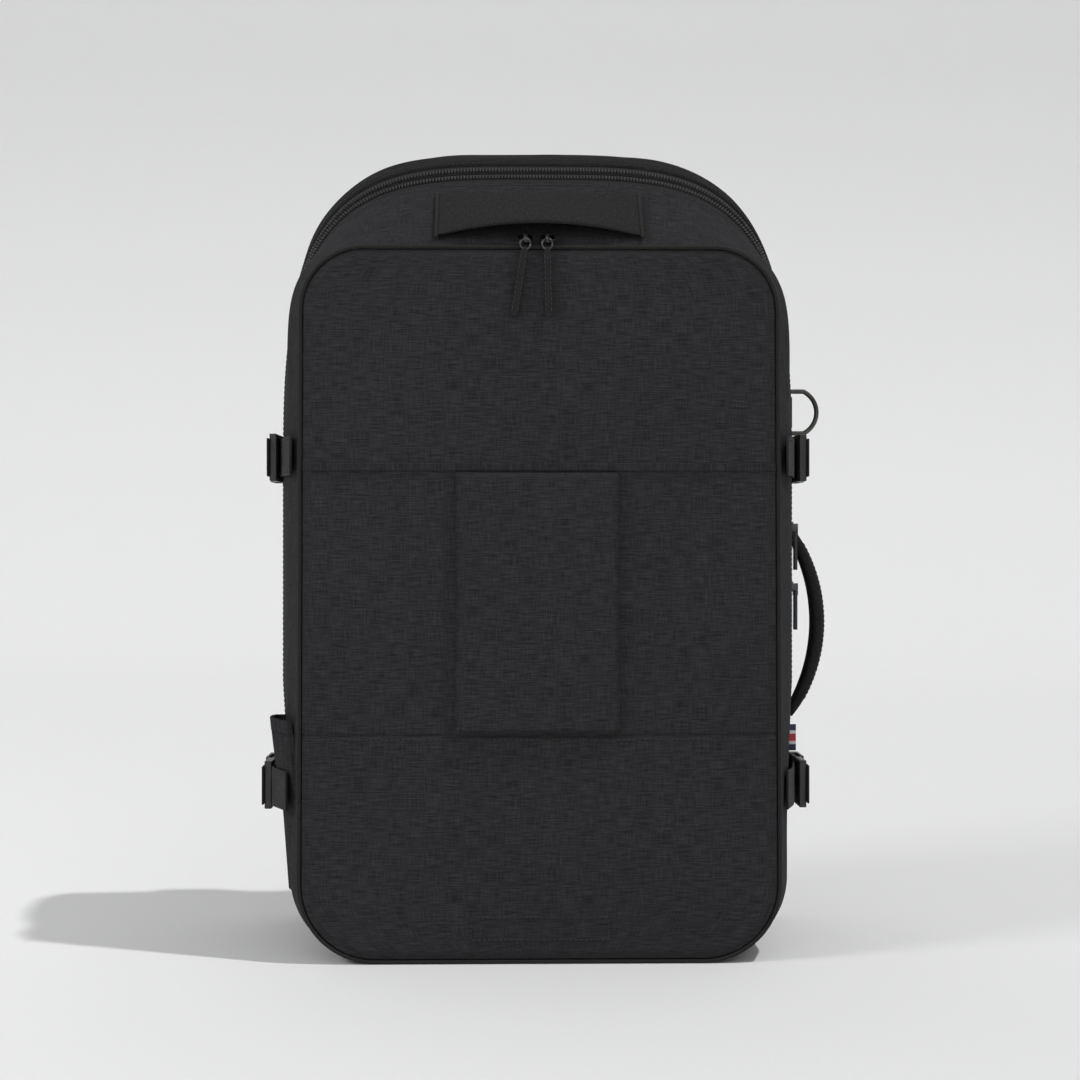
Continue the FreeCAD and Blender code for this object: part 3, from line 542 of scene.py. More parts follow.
def level_weave(piece, behind):
    """Cloth UVs of the faces behind a plane are their own x and z, so the weave of a flat back runs level."""
    mesh = piece.data
    layer = mesh.uv_layers["cloth"].data
    for face in mesh.polygons:
        if face.center.y > behind:
            for corner in face.loop_indices:
                spot = mesh.vertices[mesh.loops[corner].vertex_index].co
                layer[corner].uv = (spot.x, spot.z)


lid_cloth = thicken(cloth_grid("lid_cloth", lid_skin(), wrap=True, heart=BAG_HEART), 0.0017, 1, 2)
settle(lid_cloth, [MELANGE, LINING, BINDING], "lid", "melange_fabric", "lid_gusset")
rear_cloth = cloth_grid("rear_cloth", rear_skin(), wrap=True, heart=BAG_HEART)
level_weave(weld(rear_cloth), FRONT_Y + SHELL_DEPTH - 0.0001)
thicken(rear_cloth, 0.0017, 1, 2)
# the rear shell wears the lid's melange made darker, as painted shade
settle(rear_cloth, [MELANGE_PAINTED_SHADE, LINING, BINDING], "bag_back", "melange_fabric", "rear_shell")
print("lid and rear skins", len(lid_cloth.data.polygons), len(rear_cloth.data.polygons))

# %% [markdown]
# ## The main zip
# A zip is two woven tapes with a nylon coil sewn along each edge. The tapes are strips of the same skin,
# and each turn of the coil is a small capsule of 22 faces laid across the edge. They are all placed at
# once: one capsule is multiplied by a frame (across, along, out) for every place along the edge.

# %% Zip tapes and coils
CAPSULE_RINGS = np.array([(-0.5, 0.35), (-0.32, 1.0), (0.32, 1.0), (0.5, 0.35)])   # place along, radius


def capsules(name, at, along, out, length, radius):
    """One mesh of many small six-sided capsules: at (n, 3), with unit vectors along and out of each."""
    along = along / np.linalg.norm(along, axis=-1, keepdims=True)
    side = np.cross(along, out)
    side /= np.linalg.norm(side, axis=-1, keepdims=True)
    up = np.cross(side, along)
    turn = np.arange(6) * math.pi / 3
    t, size = CAPSULE_RINGS[:, 0][:, None], CAPSULE_RINGS[:, 1][:, None]
    local = np.stack([np.broadcast_to(t * length, (4, 6)),
                      size * radius * np.cos(turn), size * radius * np.sin(turn)], -1).reshape(-1, 3)
    points = (at[:, None] + local[None, :, :1] * along[:, None] + local[None, :, 1:2] * side[:, None]
              + local[None, :, 2:] * up[:, None])
    quads = grid_faces(4, 6, wrap=True)
    ends = np.array([[0, 1, 2, 3], [0, 3, 4, 5], [18, 19, 20, 21], [18, 21, 22, 23]])
    ends[:2] = ends[:2, ::-1]
    faces = np.concatenate([quads, ends])
    a, b, c, d = (local[faces[:, k]] for k in range(4))
    outside = (np.cross(c - a, d - b) * (a + b + c + d)).sum(-1) < 0
    faces[outside] = faces[outside][:, ::-1]
    every = faces[None] + (np.arange(len(at)) * len(local))[:, None, None]
    flat = points.reshape(-1, 3)
    mesh = bpy.data.meshes.new(name)
    mesh.from_pydata(flat.tolist(), [], every.reshape(-1, 4).tolist())
    layer = mesh.uv_layers.new(name="cloth")
    layer.data.foreach_set("uv", flat[every.ravel()][:, [0, 2]].ravel())
    mesh.polygons.foreach_set("use_smooth", np.full(len(mesh.polygons), True))
    piece = bpy.data.objects.new(name, mesh)
    bpy.context.scene.collection.objects.link(piece)
    return piece


def evenly(points, pitch, normals=None):
    """Places every pitch along an open line of points, with their directions and normals."""
    length = run_lengths(points, 0)
    at = np.arange(pitch / 2, length[-1], pitch)
    place = np.stack([np.interp(at, length, points[:, k]) for k in range(3)], -1)
    ahead = np.stack([np.interp(at + pitch * 0.5, length, points[:, k]) for k in range(3)], -1)
    back = np.stack([np.interp(at - pitch * 0.5, length, points[:, k]) for k in range(3)], -1)
    along = ahead - back
    along /= np.linalg.norm(along, axis=-1, keepdims=True)
    if normals is None:
        return place, along
    up = np.stack([np.interp(at, length, normals[:, k]) for k in range(3)], -1)
    return place, along, up / np.linalg.norm(up, axis=-1, keepdims=True)


def above_zip_end(ring):
    """The columns of a section that lie above the zip's end, in order from the right foot over the top."""
    return np.where(ring[:, 2] > ZIP_END_Z)[0]


def zip_side(name, d0, d1, teeth_d, body, stands_for):
    """One tape between two depths, and its coil along the depth teeth_d."""
    rows = np.linspace(d0, d1, 8)
    grid = skin(rows)
    normals = outward(grid)
    columns = above_zip_end(grid[0])
    toward = np.abs(rows - teeth_d)[:, None]
    lift = 0.0004 * smooth(0.006, 0.0, toward) - 0.0012
    raised = (grid + normals * lift[..., None])[:, columns]
    tape = thicken(cloth_grid(name + "_tape", raised, heart=BAG_HEART), 0.0007)
    settle(tape, ZIP_TAPE, body, "zip", stands_for)
    edge = skin([teeth_d])[0][columns]
    edge_out = outward(skin([teeth_d - 0.001, teeth_d + 0.001]))[0][columns]
    place, along, up = evenly(edge, ZIP_PITCH, edge_out)
    across = np.cross(along, up)
    coil = capsules(name + "_coil", place - up * 0.0003, across, up, 0.0046, 0.00082)
    settle(coil, COIL, body, "zip")
    return len(place)


ZIP_PITCH = 0.0021
turns = zip_side("main_zip_front", 0.0668, 0.07465, 0.0723, "lid", "main_zip_front")
turns += zip_side("main_zip_rear", 0.07535, 0.0832, 0.0777, "bag_back", "main_zip_rear")
print("zip turns", turns)

# %% [markdown]
# ## Rows of stitches
# Topstitching holds every edge of the bag. A stitch shows as a short rounded dash, so a row of stitches
# is the capsule again, laid along a line just proud of the cloth. The thread is nearly the cloth's own
# tone, so it reads as a broken line of light, not as a pattern.

# %% Stitch rows
STITCH_LENGTH, STITCH_PITCH, STITCH_R = 0.0026, 0.0034, 0.00030


def stitches(name, lines, body, slot="melange_fabric"):
    """Stitches along several lines, each (points (n, 3), outward normal: one (3,) or one for each point)."""
    at, along, out = [], [], []
    for points, normal in lines:
        normals = np.broadcast_to(np.asarray(normal, float), points.shape)
        place, run, up = evenly(points, STITCH_PITCH, normals)
        at.append(place + up * STITCH_R * 0.3)
        along.append(run)
        out.append(up)
    at, along, out = (np.concatenate(part) for part in (at, along, out))
    return settle(capsules(name, at, along, out, STITCH_LENGTH, STITCH_R), THREAD, body, slot)


def line(start, end, steps=40):
    """Straight line of points between two places."""
    t = np.linspace(0, 1, steps)[:, None]
    return np.asarray(start) * (1 - t) + np.asarray(end) * t


ring_near_tape = skin([COVER_FRONT_D - 0.0022])[0]
near_normals = outward(skin([COVER_FRONT_D - 0.003, COVER_FRONT_D - 0.001]))[0]
cols = above_zip_end(ring_near_tape)
stitches("lid_zip_stitches", [(ring_near_tape[cols], near_normals[cols])], "lid")
ring_behind = skin([COVER_REAR_D + 0.0022])[0]
behind_normals = outward(skin([COVER_REAR_D + 0.001, COVER_REAR_D + 0.003]))[0]
stitches("rear_zip_stitches", [(ring_behind[cols], behind_normals[cols])], "bag_back")
print("stitch rows by the zip")

# %% [markdown]
# ## The front panel
# The panel is foam-backed cloth held all round by the piping, so it is slightly crowned and its edges
# roll down into the seam. One function gives the crown of the whole front at any point, and everything
# sewn to the front starts from it. The panel is made of rows across the bag, each as wide as the outline
# is at that height.

# %% Front panel, flap and seams
SEAM_H = 0.1442
HEM_LOW, HEM_HIGH = 0.3116, 0.3170


def edge_distance(x, h):
    """How far a point of the front is from the panel's outline, with its round corners."""
    x = np.abs(x)
    straight = np.minimum(np.minimum(PANEL_X - x, h), PANEL_H - h)
    low_x, low_h = x - (PANEL_X - CORNER_LOW), CORNER_LOW - h
    top_x, top_h = x - (PANEL_X - CORNER_PANEL), h - (PANEL_H - CORNER_PANEL)
    low = CORNER_LOW - np.hypot(low_x, low_h)
    high = CORNER_PANEL - np.hypot(top_x, top_h)
    return np.where((low_x > 0) & (low_h > 0), low, np.where((top_x > 0) & (top_h > 0), high, straight))


def panel_half(h, inset):
    """Half width of the panel's outline at a height, taken in by inset."""
    w = PANEL_X - inset
    low_r, top_r = CORNER_LOW - inset, CORNER_PANEL - inset
    low = np.clip(CORNER_LOW - h, 0, low_r)
    top = np.clip(h - (PANEL_H - CORNER_PANEL), 0, top_r)
    return w - (low_r - np.sqrt(low_r ** 2 - low ** 2)) - (top_r - np.sqrt(top_r ** 2 - top ** 2))


def front_crown(x, h):
    """How far the cloth stands out of the front plane: a crown, soft ripples, and rolled edges."""
    edge = edge_distance(x, h)
    crown = 0.0016 * smooth(0.0, 0.075, edge) + ripples(x, h, 21, 0.0008) * smooth(0.0, 0.03, edge)
    return crown - 0.0017 * (1 - smooth(0.0, 0.0055, edge - PIPING))


def groove(h, at, deep, wide):
    """A seam sunk into the cloth: a narrow bell across it."""
    return -deep * np.exp(-((h - at) / wide) ** 2)


def rows_near(start, end, count, *specials):
    """Even rows with extra ones close to special heights."""
    extra = [s + k * 0.0007 for s in specials for k in range(-5, 6)]
    rows = np.unique(np.round(np.concatenate([np.linspace(start, end, count), extra]), 6))
    return rows[(rows >= start) & (rows <= end)]


PANEL_INSET = PIPING + 0.0003


def panel_cloth(name, h0, h1, seams=()):
    """The part of the front between two heights, as rows from side to side."""
    h = rows_near(h0, h1, 90, *seams, h0 + 0.003, h1 - 0.003)
    u = np.linspace(-1, 1, 161)
    u = np.sign(u) * (1 - (1 - np.abs(u)) ** 1.25)
    x = panel_half(h, PANEL_INSET)[:, None] * u
    tall = np.broadcast_to(h[:, None], x.shape)
    out = front_crown(x, tall)
    for seam in seams:
        out = out + groove(tall, seam, 0.0011, 0.0009)
    return thicken(cloth_grid(name, lean_back(x, -out, tall), heart=BAG_HEART), 0.0022, 1)


lower_cloth = panel_cloth("lower_cloth", PANEL_INSET, HEM_LOW + 0.001, (SEAM_H,))
settle(lower_cloth, [MELANGE, LINING], "lid", "melange_fabric", "lower_panel")
flap_cloth = panel_cloth("flap_cloth", HEM_HIGH - 0.0015, PANEL_H - PANEL_INSET)
settle(flap_cloth, [MELANGE, LINING], "front_flap", "melange_fabric", "front_flap_panel")
print("panel rows", len(lower_cloth.data.vertices), len(flap_cloth.data.vertices))

# %% [markdown]
# ## Tubes, bands and piping
# Piping, rolled hems, handles and webbing are all a profile carried along a path. At each place the
# profile sits in a plane given by two vectors, side and out, so a band can lie flat on a curved face
# without twisting. A rounded-rectangle profile gives webbing its soft edges.

# %% Carried profiles
def rounded_bar(width, thickness, radius, per_corner=4):
    """Closed profile (k, 2) of a rectangle with round corners, about its centre."""
    turn = np.linspace(0, math.pi / 2, per_corner)
    corners = []
    for number, (sx, sy) in enumerate([(1, 1), (-1, 1), (-1, -1), (1, -1)]):
        a = turn + number * math.pi / 2
        centre = np.array([sx * (width / 2 - radius), sy * (thickness / 2 - radius)])
        corners.append(centre + radius * np.stack([np.cos(a), np.sin(a)], -1))
    return np.concatenate(corners)


def round_bar(radius, sides=12):
    """Closed profile of a circle."""
    a = np.arange(sides) * 2 * math.pi / sides
    return radius * np.stack([np.cos(a), np.sin(a)], -1)


def carried(path, side, out, profile):
    """Grid of a profile (k, 2) carried along path (n, 3): point + side * across + out * up."""
    side = np.broadcast_to(np.asarray(side, float), path.shape)
    out = np.broadcast_to(np.asarray(out, float), path.shape)
    profile = np.broadcast_to(profile, (len(path), *np.shape(profile)[-2:]))
    return path[:, None] + side[:, None] * profile[..., :1] + out[:, None] * profile[..., 1:]


def ring_tube(name, ring, inward, out, profile):
    """A profile carried round a closed path, joined end to end."""
    grid = carried(ring, inward, out, profile)
    grid = np.concatenate([grid, grid[:1]])
    return weld(cloth_grid(name, grid, wrap=True), turn_out=True)


PANEL_BACK = np.array([0.0, math.cos(LEAN), -math.sin(LEAN)])       # straight into the panel
PANEL_UP = np.array([0.0, math.sin(LEAN), math.cos(LEAN)])


def panel_ring(inset, depth):
    """The panel's outline at an inset and a depth, with the unit vectors that point in from it."""
    x, z = half_section(PANEL_X, PANEL_X, PANEL_H, 0, 0, inset, panel=True)
    x, z = np.concatenate([x, -x[-2:0:-1]]), np.concatenate([z, z[-2:0:-1]])
    ring = lean_back(x, depth, z)
    tangent = np.roll(ring, -1, 0) - np.roll(ring, 1, 0)
    inward = np.cross(tangent, PANEL_BACK)
    inward /= np.linalg.norm(inward, axis=-1, keepdims=True)
    middle = lean_back(0.0, depth, PANEL_H / 2)
    return ring, inward * np.sign(((middle - ring) * inward).sum(-1, keepdims=True))


ring, inward = panel_ring(0.0014, 0.0019)
piping = ring_tube("panel_piping", ring, inward, -PANEL_BACK, round_bar(0.0013, 10))
settle(piping, BINDING, "lid", "binding", "front_piping")
print("piping round", round(float(run_lengths(ring, 0)[-1]), 3), "m")

# %% [markdown]
# ### The flap's hem
# The flap ends in a folded hem that laps over the lower panel, so it shows a rolled lower edge and a
# fine line above it. The profile is a flat bar with a lip, carried across the front.

# %% Hem across the front
def across_front(h, half, steps=121, lift=0.0):
    """A line across the front at one height, lying on its crown."""
    x = np.linspace(-half, half, steps)
    return lean_back(x, -(front_crown(x, np.full_like(x, h)) + lift), np.full_like(x, h))


HEM_MID = (HEM_LOW + HEM_HIGH) / 2
HEM_THICK, HEM_ROUND = 0.0030, 0.0012
hem_half = PANEL_X - PANEL_INSET
fold = rounded_bar(HEM_HIGH - HEM_LOW, HEM_THICK, HEM_ROUND, 5)
fold[:, 1] += 0.0004 * np.exp(-((fold[:, 0] + 0.0016) / 0.0009) ** 2) * (fold[:, 1] > 0)
fold[:, 1] -= 0.0005 * np.exp(-((fold[:, 0] - 0.0012) / 0.0006) ** 2) * (fold[:, 1] > 0)
hem_line = across_front(HEM_MID, hem_half, lift=-0.0006)
hem = closed_grid("flap_hem", carried(hem_line, PANEL_UP, -PANEL_BACK, fold))
settle(hem, MELANGE, "lid", "melange_fabric", "hem_strip")
print("hem", round(2 * hem_half, 3), "m long")

# %% [markdown]
# ### The raised pocket in the middle
# A flat pocket stands out from the lower panel. Its face is nearly flat, its edges turn down over a few
# millimetres, and its sides pull in a little between the corners. The same formula as a cushion is used,
# a product of two edge falls, but with a short fall so that it stays a pocket and not a pillow.

# %% Centre pocket and label
POCKET_X0, POCKET_X1, POCKET_H0, POCKET_H1 = -0.054, 0.051, 0.1450, 0.3112


def raised_cloth(name, x0, x1, h0, h1, raise_by, fall, pull, seed):
    """A patch whose height is raise_by times the fall from each edge, and whose sides pull in by pull."""
    u = np.linspace(-1, 1, 81)
    u = np.sign(u) * (1 - (1 - np.abs(u)) ** 1.8)
    v = np.linspace(-1, 1, 111)
    v = (np.sign(v) * (1 - (1 - np.abs(v)) ** 1.8))[:, None]
    half_x, half_h = (x1 - x0) / 2, (h1 - h0) / 2
    x = (x0 + x1) / 2 + u * (half_x - pull * (1 - v ** 2))
    h = (h0 + h1) / 2 + v * (half_h - pull * 0.3 * (1 - u ** 2))
    in_x, in_h = (1 - np.abs(u)) * half_x, (1 - np.abs(v)) * half_h
    rise = raise_by * np.sqrt(smooth(-fall * 0.1, fall, in_x)) * np.sqrt(smooth(-fall * 0.1, fall, in_h))
    out = front_crown(x, h) + rise - 0.0006 + ripples(x, h, seed, 0.0006) * (rise > raise_by * 0.9)
    return thicken(cloth_grid(name, lean_back(x, -out, h), heart=BAG_HEART), 0.0015)


pocket = raised_cloth("centre_pocket_cloth", POCKET_X0, POCKET_X1, POCKET_H0, POCKET_H1,
                      0.0056, 0.0032, 0.0008, 31)
settle(pocket, MELANGE, "lid", "melange_fabric", "centre_pocket")
label = raised_cloth("label_cloth", -0.045, 0.045, 0.0140, 0.0310, 0.0010, 0.0012, 0.0001, 32)
settle(label, MELANGE, "lid", "melange_fabric", "label_patch")


def on_front(x, h, lift=0.0):
    """Points on the crowned front."""
    return lean_back(x, -(front_crown(x, h) + lift), h)


def box_line(x0, x1, h0, h1, lift, steps=60):
    """The four sides of a rectangle on the front, as lines with their outward direction."""
    t = np.linspace(0, 1, steps)
    full = np.ones(steps)
    sides = [(x0 + (x1 - x0) * t, h0 * full), (x1 * full, h0 + (h1 - h0) * t),
             (x1 + (x0 - x1) * t, h1 * full), (x0 * full, h1 + (h0 - h1) * t)]
    return [(on_front(x, h, lift), -PANEL_BACK) for x, h in sides]


stitches("label_stitches", box_line(-0.0435, 0.0435, 0.0155, 0.0295, 0.0006), "lid")
seam_x = np.linspace(-0.149, 0.149, 200)
stitches("seam_stitches", [(on_front(seam_x, np.full(200, SEAM_H - 0.0026)), -PANEL_BACK)], "lid")
print("centre pocket", round(POCKET_X1 - POCKET_X0, 3), "x", round(POCKET_H1 - POCKET_H0, 3), "m")

# %% [markdown]
# ## The top handle
# A padded band lies across the sloping strip and bows up from it. Its top and underside are two circle
# arcs. At each place along it the cross-section is a soft bar as wide as the band, so its two long edges
# are round, and it gets thinner towards its sewn ends.

# %% Top handle
SLOPE = math.atan2(ZIP_FRONT_TOP - PANEL_H, ZIP_FRONT_D - TOP_SETBACK)
ALONG = np.array([0.0, math.cos(SLOPE), math.sin(SLOPE)])
OUT = np.array([0.0, -math.sin(SLOPE), math.cos(SLOPE)])
SLOPE_FOOT = np.array([0.0, FRONT_Y + TOP_SETBACK, PANEL_H])
HANDLE_X, HANDLE_A0, HANDLE_A1 = 0.065, 0.0082, 0.056
HOLLOW_X, END_TOP, END_LOW = 0.060, 0.0022, 0.0008


def arc_height(x, half, peak, end):
    """Height over x of the circle arc that is end high at both ends and peak high in the middle."""
    rise = peak - end
    r = (half ** 2 + rise ** 2) / (2 * rise)
    return peak - r + np.sqrt(np.maximum(r ** 2 - np.asarray(x) ** 2, 0))


def soft_bar(width, thickness, count=28, square=3.2):
    """Closed superellipse profile, for a padded band."""
    a = np.arange(count) * 2 * math.pi / count
    power = 2 / square
    return np.stack([width / 2 * np.sign(np.cos(a)) * np.abs(np.cos(a)) ** power,
                     thickness / 2 * np.sign(np.sin(a)) * np.abs(np.sin(a)) ** power], -1)


def handle_band(steps=91, around=44):
    """Rows across the bag. Each is a soft bar, whose top and underside heights run from the arcs of the
    free lower edge to the flatter arcs of the upper edge."""
    x = np.linspace(-HANDLE_X, HANDLE_X, steps)[:, None]
    bar = soft_bar(2.0, 2.0, around, 4.0)
    along = (HANDLE_A0 + HANDLE_A1) / 2 + bar[:, 0] * (HANDLE_A1 - HANDLE_A0 - 0.0004) / 2
    f = (along - HANDLE_A0) / (HANDLE_A1 - HANDLE_A0)
    top = (1 - f) * arc_height(x, HANDLE_X, 0.0135, END_TOP) + f * arc_height(x, HANDLE_X, 0.0049, END_TOP)
    low = (1 - f) * arc_height(x, HOLLOW_X, 0.0092, END_LOW) + f * arc_height(x, HOLLOW_X, 0.0017, END_LOW)
    low = np.maximum(low, END_LOW)
    out = (top + low) / 2 + bar[:, 1] * (top - low) / 2
    return SLOPE_FOOT + x[..., None] * [1, 0, 0] + ALONG * along[:, None] + OUT * out[..., None], top


band, top_side = handle_band()
handle = closed_grid("top_handle_band", band)
settle(handle, SMOOTH_CLOTH, "top_handle", "melange_fabric", "top_handle")


def merged_piece(name, parts):
    """Several meshes joined into one piece."""
    bpy.ops.object.select_all(action="DESELECT")
    for part in parts:
        part.select_set(True)
    bpy.context.view_layer.objects.active = parts[0]
    bpy.ops.object.join()
    parts[0].name = name
    parts[0].data.name = name
    return parts[0]


def folded_tab(name, centre, across, run, out, width, length, thickness):
    """A short folded piece of webbing: a rounded bar carried along its length, thicker at its folded edge."""
    t = np.linspace(-0.5, 0.5, 15)
    path = np.asarray(centre) + t[:, None] * length * np.asarray(run)
    swell = 1.0 + 0.25 * smooth(0.3, 0.5, np.abs(t))
    bars = np.stack([rounded_bar(width, thickness * more, thickness * 0.45) for more in swell])
    return closed_grid(name, carried(path, across, out, bars))


SEAM_X = 0.0663
seam_mid = SLOPE_FOOT + ALONG * (HANDLE_A0 + HANDLE_A1) / 2 + OUT * 0.0010
ends = [folded_tab("end", seam_mid + np.array([s * SEAM_X, 0, 0]), ALONG, [1, 0, 0], OUT,
                   HANDLE_A1 - HANDLE_A0 + 0.004, 0.0021, 0.0018) for s in (-1, 1)]
ends = merged_piece("top_handle_seams", ends)
settle(ends, BINDING, "lid", "binding", "top_handle_ends")
print("top handle peak", round(float(top_side.max()), 4), "m off the slope")

# %% [markdown]
# ## The side handle
# This one is a narrow band sewn edge to edge round a core, so a groove runs down its outer face. The
# cross-section is two lobes: a rounded bar whose outer face dips in the middle. It tapers to its ends,
# which are sewn down under small patches.

# %% Side handle
HANDLE_Y = FRONT_Y + 0.112
SIDE_Z0, SIDE_Z1 = 0.147, 0.277
z = np.linspace(SIDE_Z0 + 0.0004, SIDE_Z1 - 0.0004, 101)
from_mid = z - (SIDE_Z0 + SIDE_Z1) / 2
half = (SIDE_Z1 - SIDE_Z0) / 2
outer = arc_height(from_mid, half, 0.0287, 0.0062)
inner = np.maximum(arc_height(from_mid, half * 0.9, 0.0187, 0.0036), 0.0036)
core, thick = (outer + inner) / 2, np.maximum(outer - inner, 0.0022)
path = np.stack([SIDE_X + core, np.full_like(z, HANDLE_Y), z], -1)
tangent = np.gradient(path, axis=0)
tangent /= np.linalg.norm(tangent, axis=-1, keepdims=True)
out_side = np.cross(tangent, [0.0, 1.0, 0.0])
out_side *= np.sign(out_side[:, :1])
bars = []
for t, end in zip(thick, np.abs(from_mid) / half):
    bar = soft_bar(0.0176 * (1 - 0.30 * float(smooth(0.75, 1.0, end))), t * 0.94, 44, 2.8)
    bar[:, 1] -= 0.0016 * np.exp(-(bar[:, 0] / 0.0011) ** 2) * (bar[:, 1] > 0)
    bars.append(bar)
side_handle = closed_grid("side_handle_band", carried(path, [0.0, 1.0, 0.0], out_side, np.stack(bars)))
settle(side_handle, SMOOTH_CLOTH, "side_handle", "melange_fabric", "side_handle")
groove_path = path + out_side * (thick / 2 - 0.0013)[:, None]
cord = closed_grid("side_handle_cord", carried(groove_path[6:-6], [0.0, 1.0, 0.0], out_side[6:-6],
                                               round_bar(0.0007, 8)))
settle(cord, WEBBING, "side_handle", "webbing")
stitch_path = path + out_side * (thick / 2 * 0.86)[:, None]
stitches("side_handle_stitches", [((stitch_path + np.array([0, s * 0.0052, 0]))[10:-10], out_side[10:-10])
                                  for s in (-1, 1)], "side_handle")
ends = [folded_tab("end", [SIDE_X + 0.0022, HANDLE_Y, zc], [0, 1, 0], [0, 0, 1], [1, 0, 0],
                   0.0178, 0.0129, 0.0042) for zc in (SIDE_Z0 - 0.0068, SIDE_Z1 + 0.0068)]
ends = merged_piece("side_handle_patches", ends)
settle(ends, SMOOTH_CLOTH, "bag_back", "melange_fabric", "side_handle_ends")
print("side handle stands", round(float(outer.max()), 4), "m off the side")

# %% [markdown]
# ## Moulded and plated parts
# Buckles, sliders, moulded pulls, ladder locks, the split rings and the D-ring are hard, and the frame
# already holds their working shape. Each buckle, slider, pull and ladder lock is taken as a merged copy, its
# flat faces are joined, and a small bevel breaks every sharp edge, because a moulded edge is never sharp and
# it is the edge that catches the light. The split rings, the D-ring and the stiffening sheet keep the
# frame's own mesh and only get their finish.

# %% Hard parts from the frame
def hard_copy(cad, name, finish, slot, edge=0.0005, segments=3):
    """A merged copy of a CAD node with its edges broken by a bevel."""
    source = frame["nodes"][cad]
    work = bmesh.new()
    work.from_mesh(source.data)
    bmesh.ops.remove_doubles(work, verts=work.verts, dist=2e-6)
    bmesh.ops.dissolve_limit(work, angle_limit=math.radians(1.0), verts=work.verts, edges=work.edges)
    bmesh.ops.recalc_face_normals(work, faces=work.faces)
    for face in work.faces:
        face.smooth = True
    mesh = bpy.data.meshes.new(name)
    work.to_mesh(mesh)
    work.free()
    piece = bpy.data.objects.new(name, mesh)
    bpy.context.scene.collection.objects.link(piece)
    bevel = piece.modifiers.new("broken edges", "BEVEL")
    bevel.width = edge
    bevel.segments = segments
    bevel.limit_method = "ANGLE"
    bevel.angle_limit = math.radians(35)
    bevel.harden_normals = True
    return settle(piece, finish, body_of[cad], slot, cad)


body_of = {n: b for b, names in frame["record"]["behaviour"]["bodies"].items() for n in names}
CORNERS = ("upper_right", "upper_left", "lower_right", "lower_left")
for corner in CORNERS:
    hard_copy("buckle_female_" + corner, "clip_socket_" + corner, BUCKLE, "buckle_plastic", 0.0017)
    hard_copy("buckle_male_" + corner, "clip_prongs_" + corner, BUCKLE, "buckle_plastic", 0.0011)
for which in ("upper", "lower"):
    hard_copy("main_slider_" + which, "zip_slider_" + which, GUNMETAL, "zip_metal", 0.0003)
    hard_copy("main_pull_" + which, "zip_pull_" + which, PULL_PLASTIC, "pull_plastic", 0.0004)
for which in ("left", "right"):
    hard_copy("front_slider_" + which, "pocket_slider_" + which, GUNMETAL, "zip_metal", 0.0003)
    hard_copy("ladder_lock_" + which, "strap_lock_" + which, BUCKLE, "buckle_plastic", 0.0008)
    frame["nodes"]["front_ring_" + which].data.materials.clear()
    frame["nodes"]["front_ring_" + which].data.materials.append(GUNMETAL)
frame["nodes"]["d_ring"].data.materials.clear()
frame["nodes"]["d_ring"].data.materials.append(RING_METAL)
frame["nodes"]["frame_sheet"].data.materials.clear()
frame["nodes"]["frame_sheet"].data.materials.append(SHEET)

# %% [markdown]
# ## Webbing of the clip straps
# Every strap is 25 mm webbing on edge: the same soft bar, carried along a line in plan. The line follows
# the side of the bag, so the strap lies on the cloth, and the tail lies folded back over the male half.

# %% Clip straps
STRAP_W, STRAP_T, STRAP_X = 0.025, 0.0015, 0.1693
STRAP_Z = {"upper_right": 0.322, "upper_left": 0.322, "lower_right": 0.108, "lower_left": 0.108}


def plan_curve(points, steps):
    """(depth, x) corner points walked evenly, then eased by a running mean, as a path of arrays."""
    p = np.array(points, float)
    length = np.concatenate([[0], np.cumsum(np.hypot(*np.diff(p, axis=0).T))])
    at = np.linspace(0, length[-1], steps)
    d, x = np.interp(at, length, p[:, 0]), np.interp(at, length, p[:, 1])
    for _ in range(3):
        d[1:-1] = (d[:-2] + d[1:-1] * 2 + d[2:]) / 4
        x[1:-1] = (x[:-2] + x[1:-1] * 2 + x[2:]) / 4
    return d, x


def strap(name, points, z, side, steps=40):
    """Webbing on edge along (depth, x) points of its inner face. side is 1 on the right, -1 on the left."""
    d, x = plan_curve(points, steps)
    path = np.stack([x * side, FRONT_Y + d, np.full_like(d, z)], -1)
    tangent = np.gradient(path, axis=0)
    out = np.cross(tangent, [0.0, 0.0, 1.0])
    out /= np.linalg.norm(out, axis=-1, keepdims=True)
    out *= np.sign(out[:, :1]) * side
    path = path + out * STRAP_T / 2
    grid = carried(path, [0.0, 0.0, 1.0], out, rounded_bar(STRAP_W, STRAP_T * 0.94, STRAP_T * 0.42))
    return closed_grid(name, grid), path, out


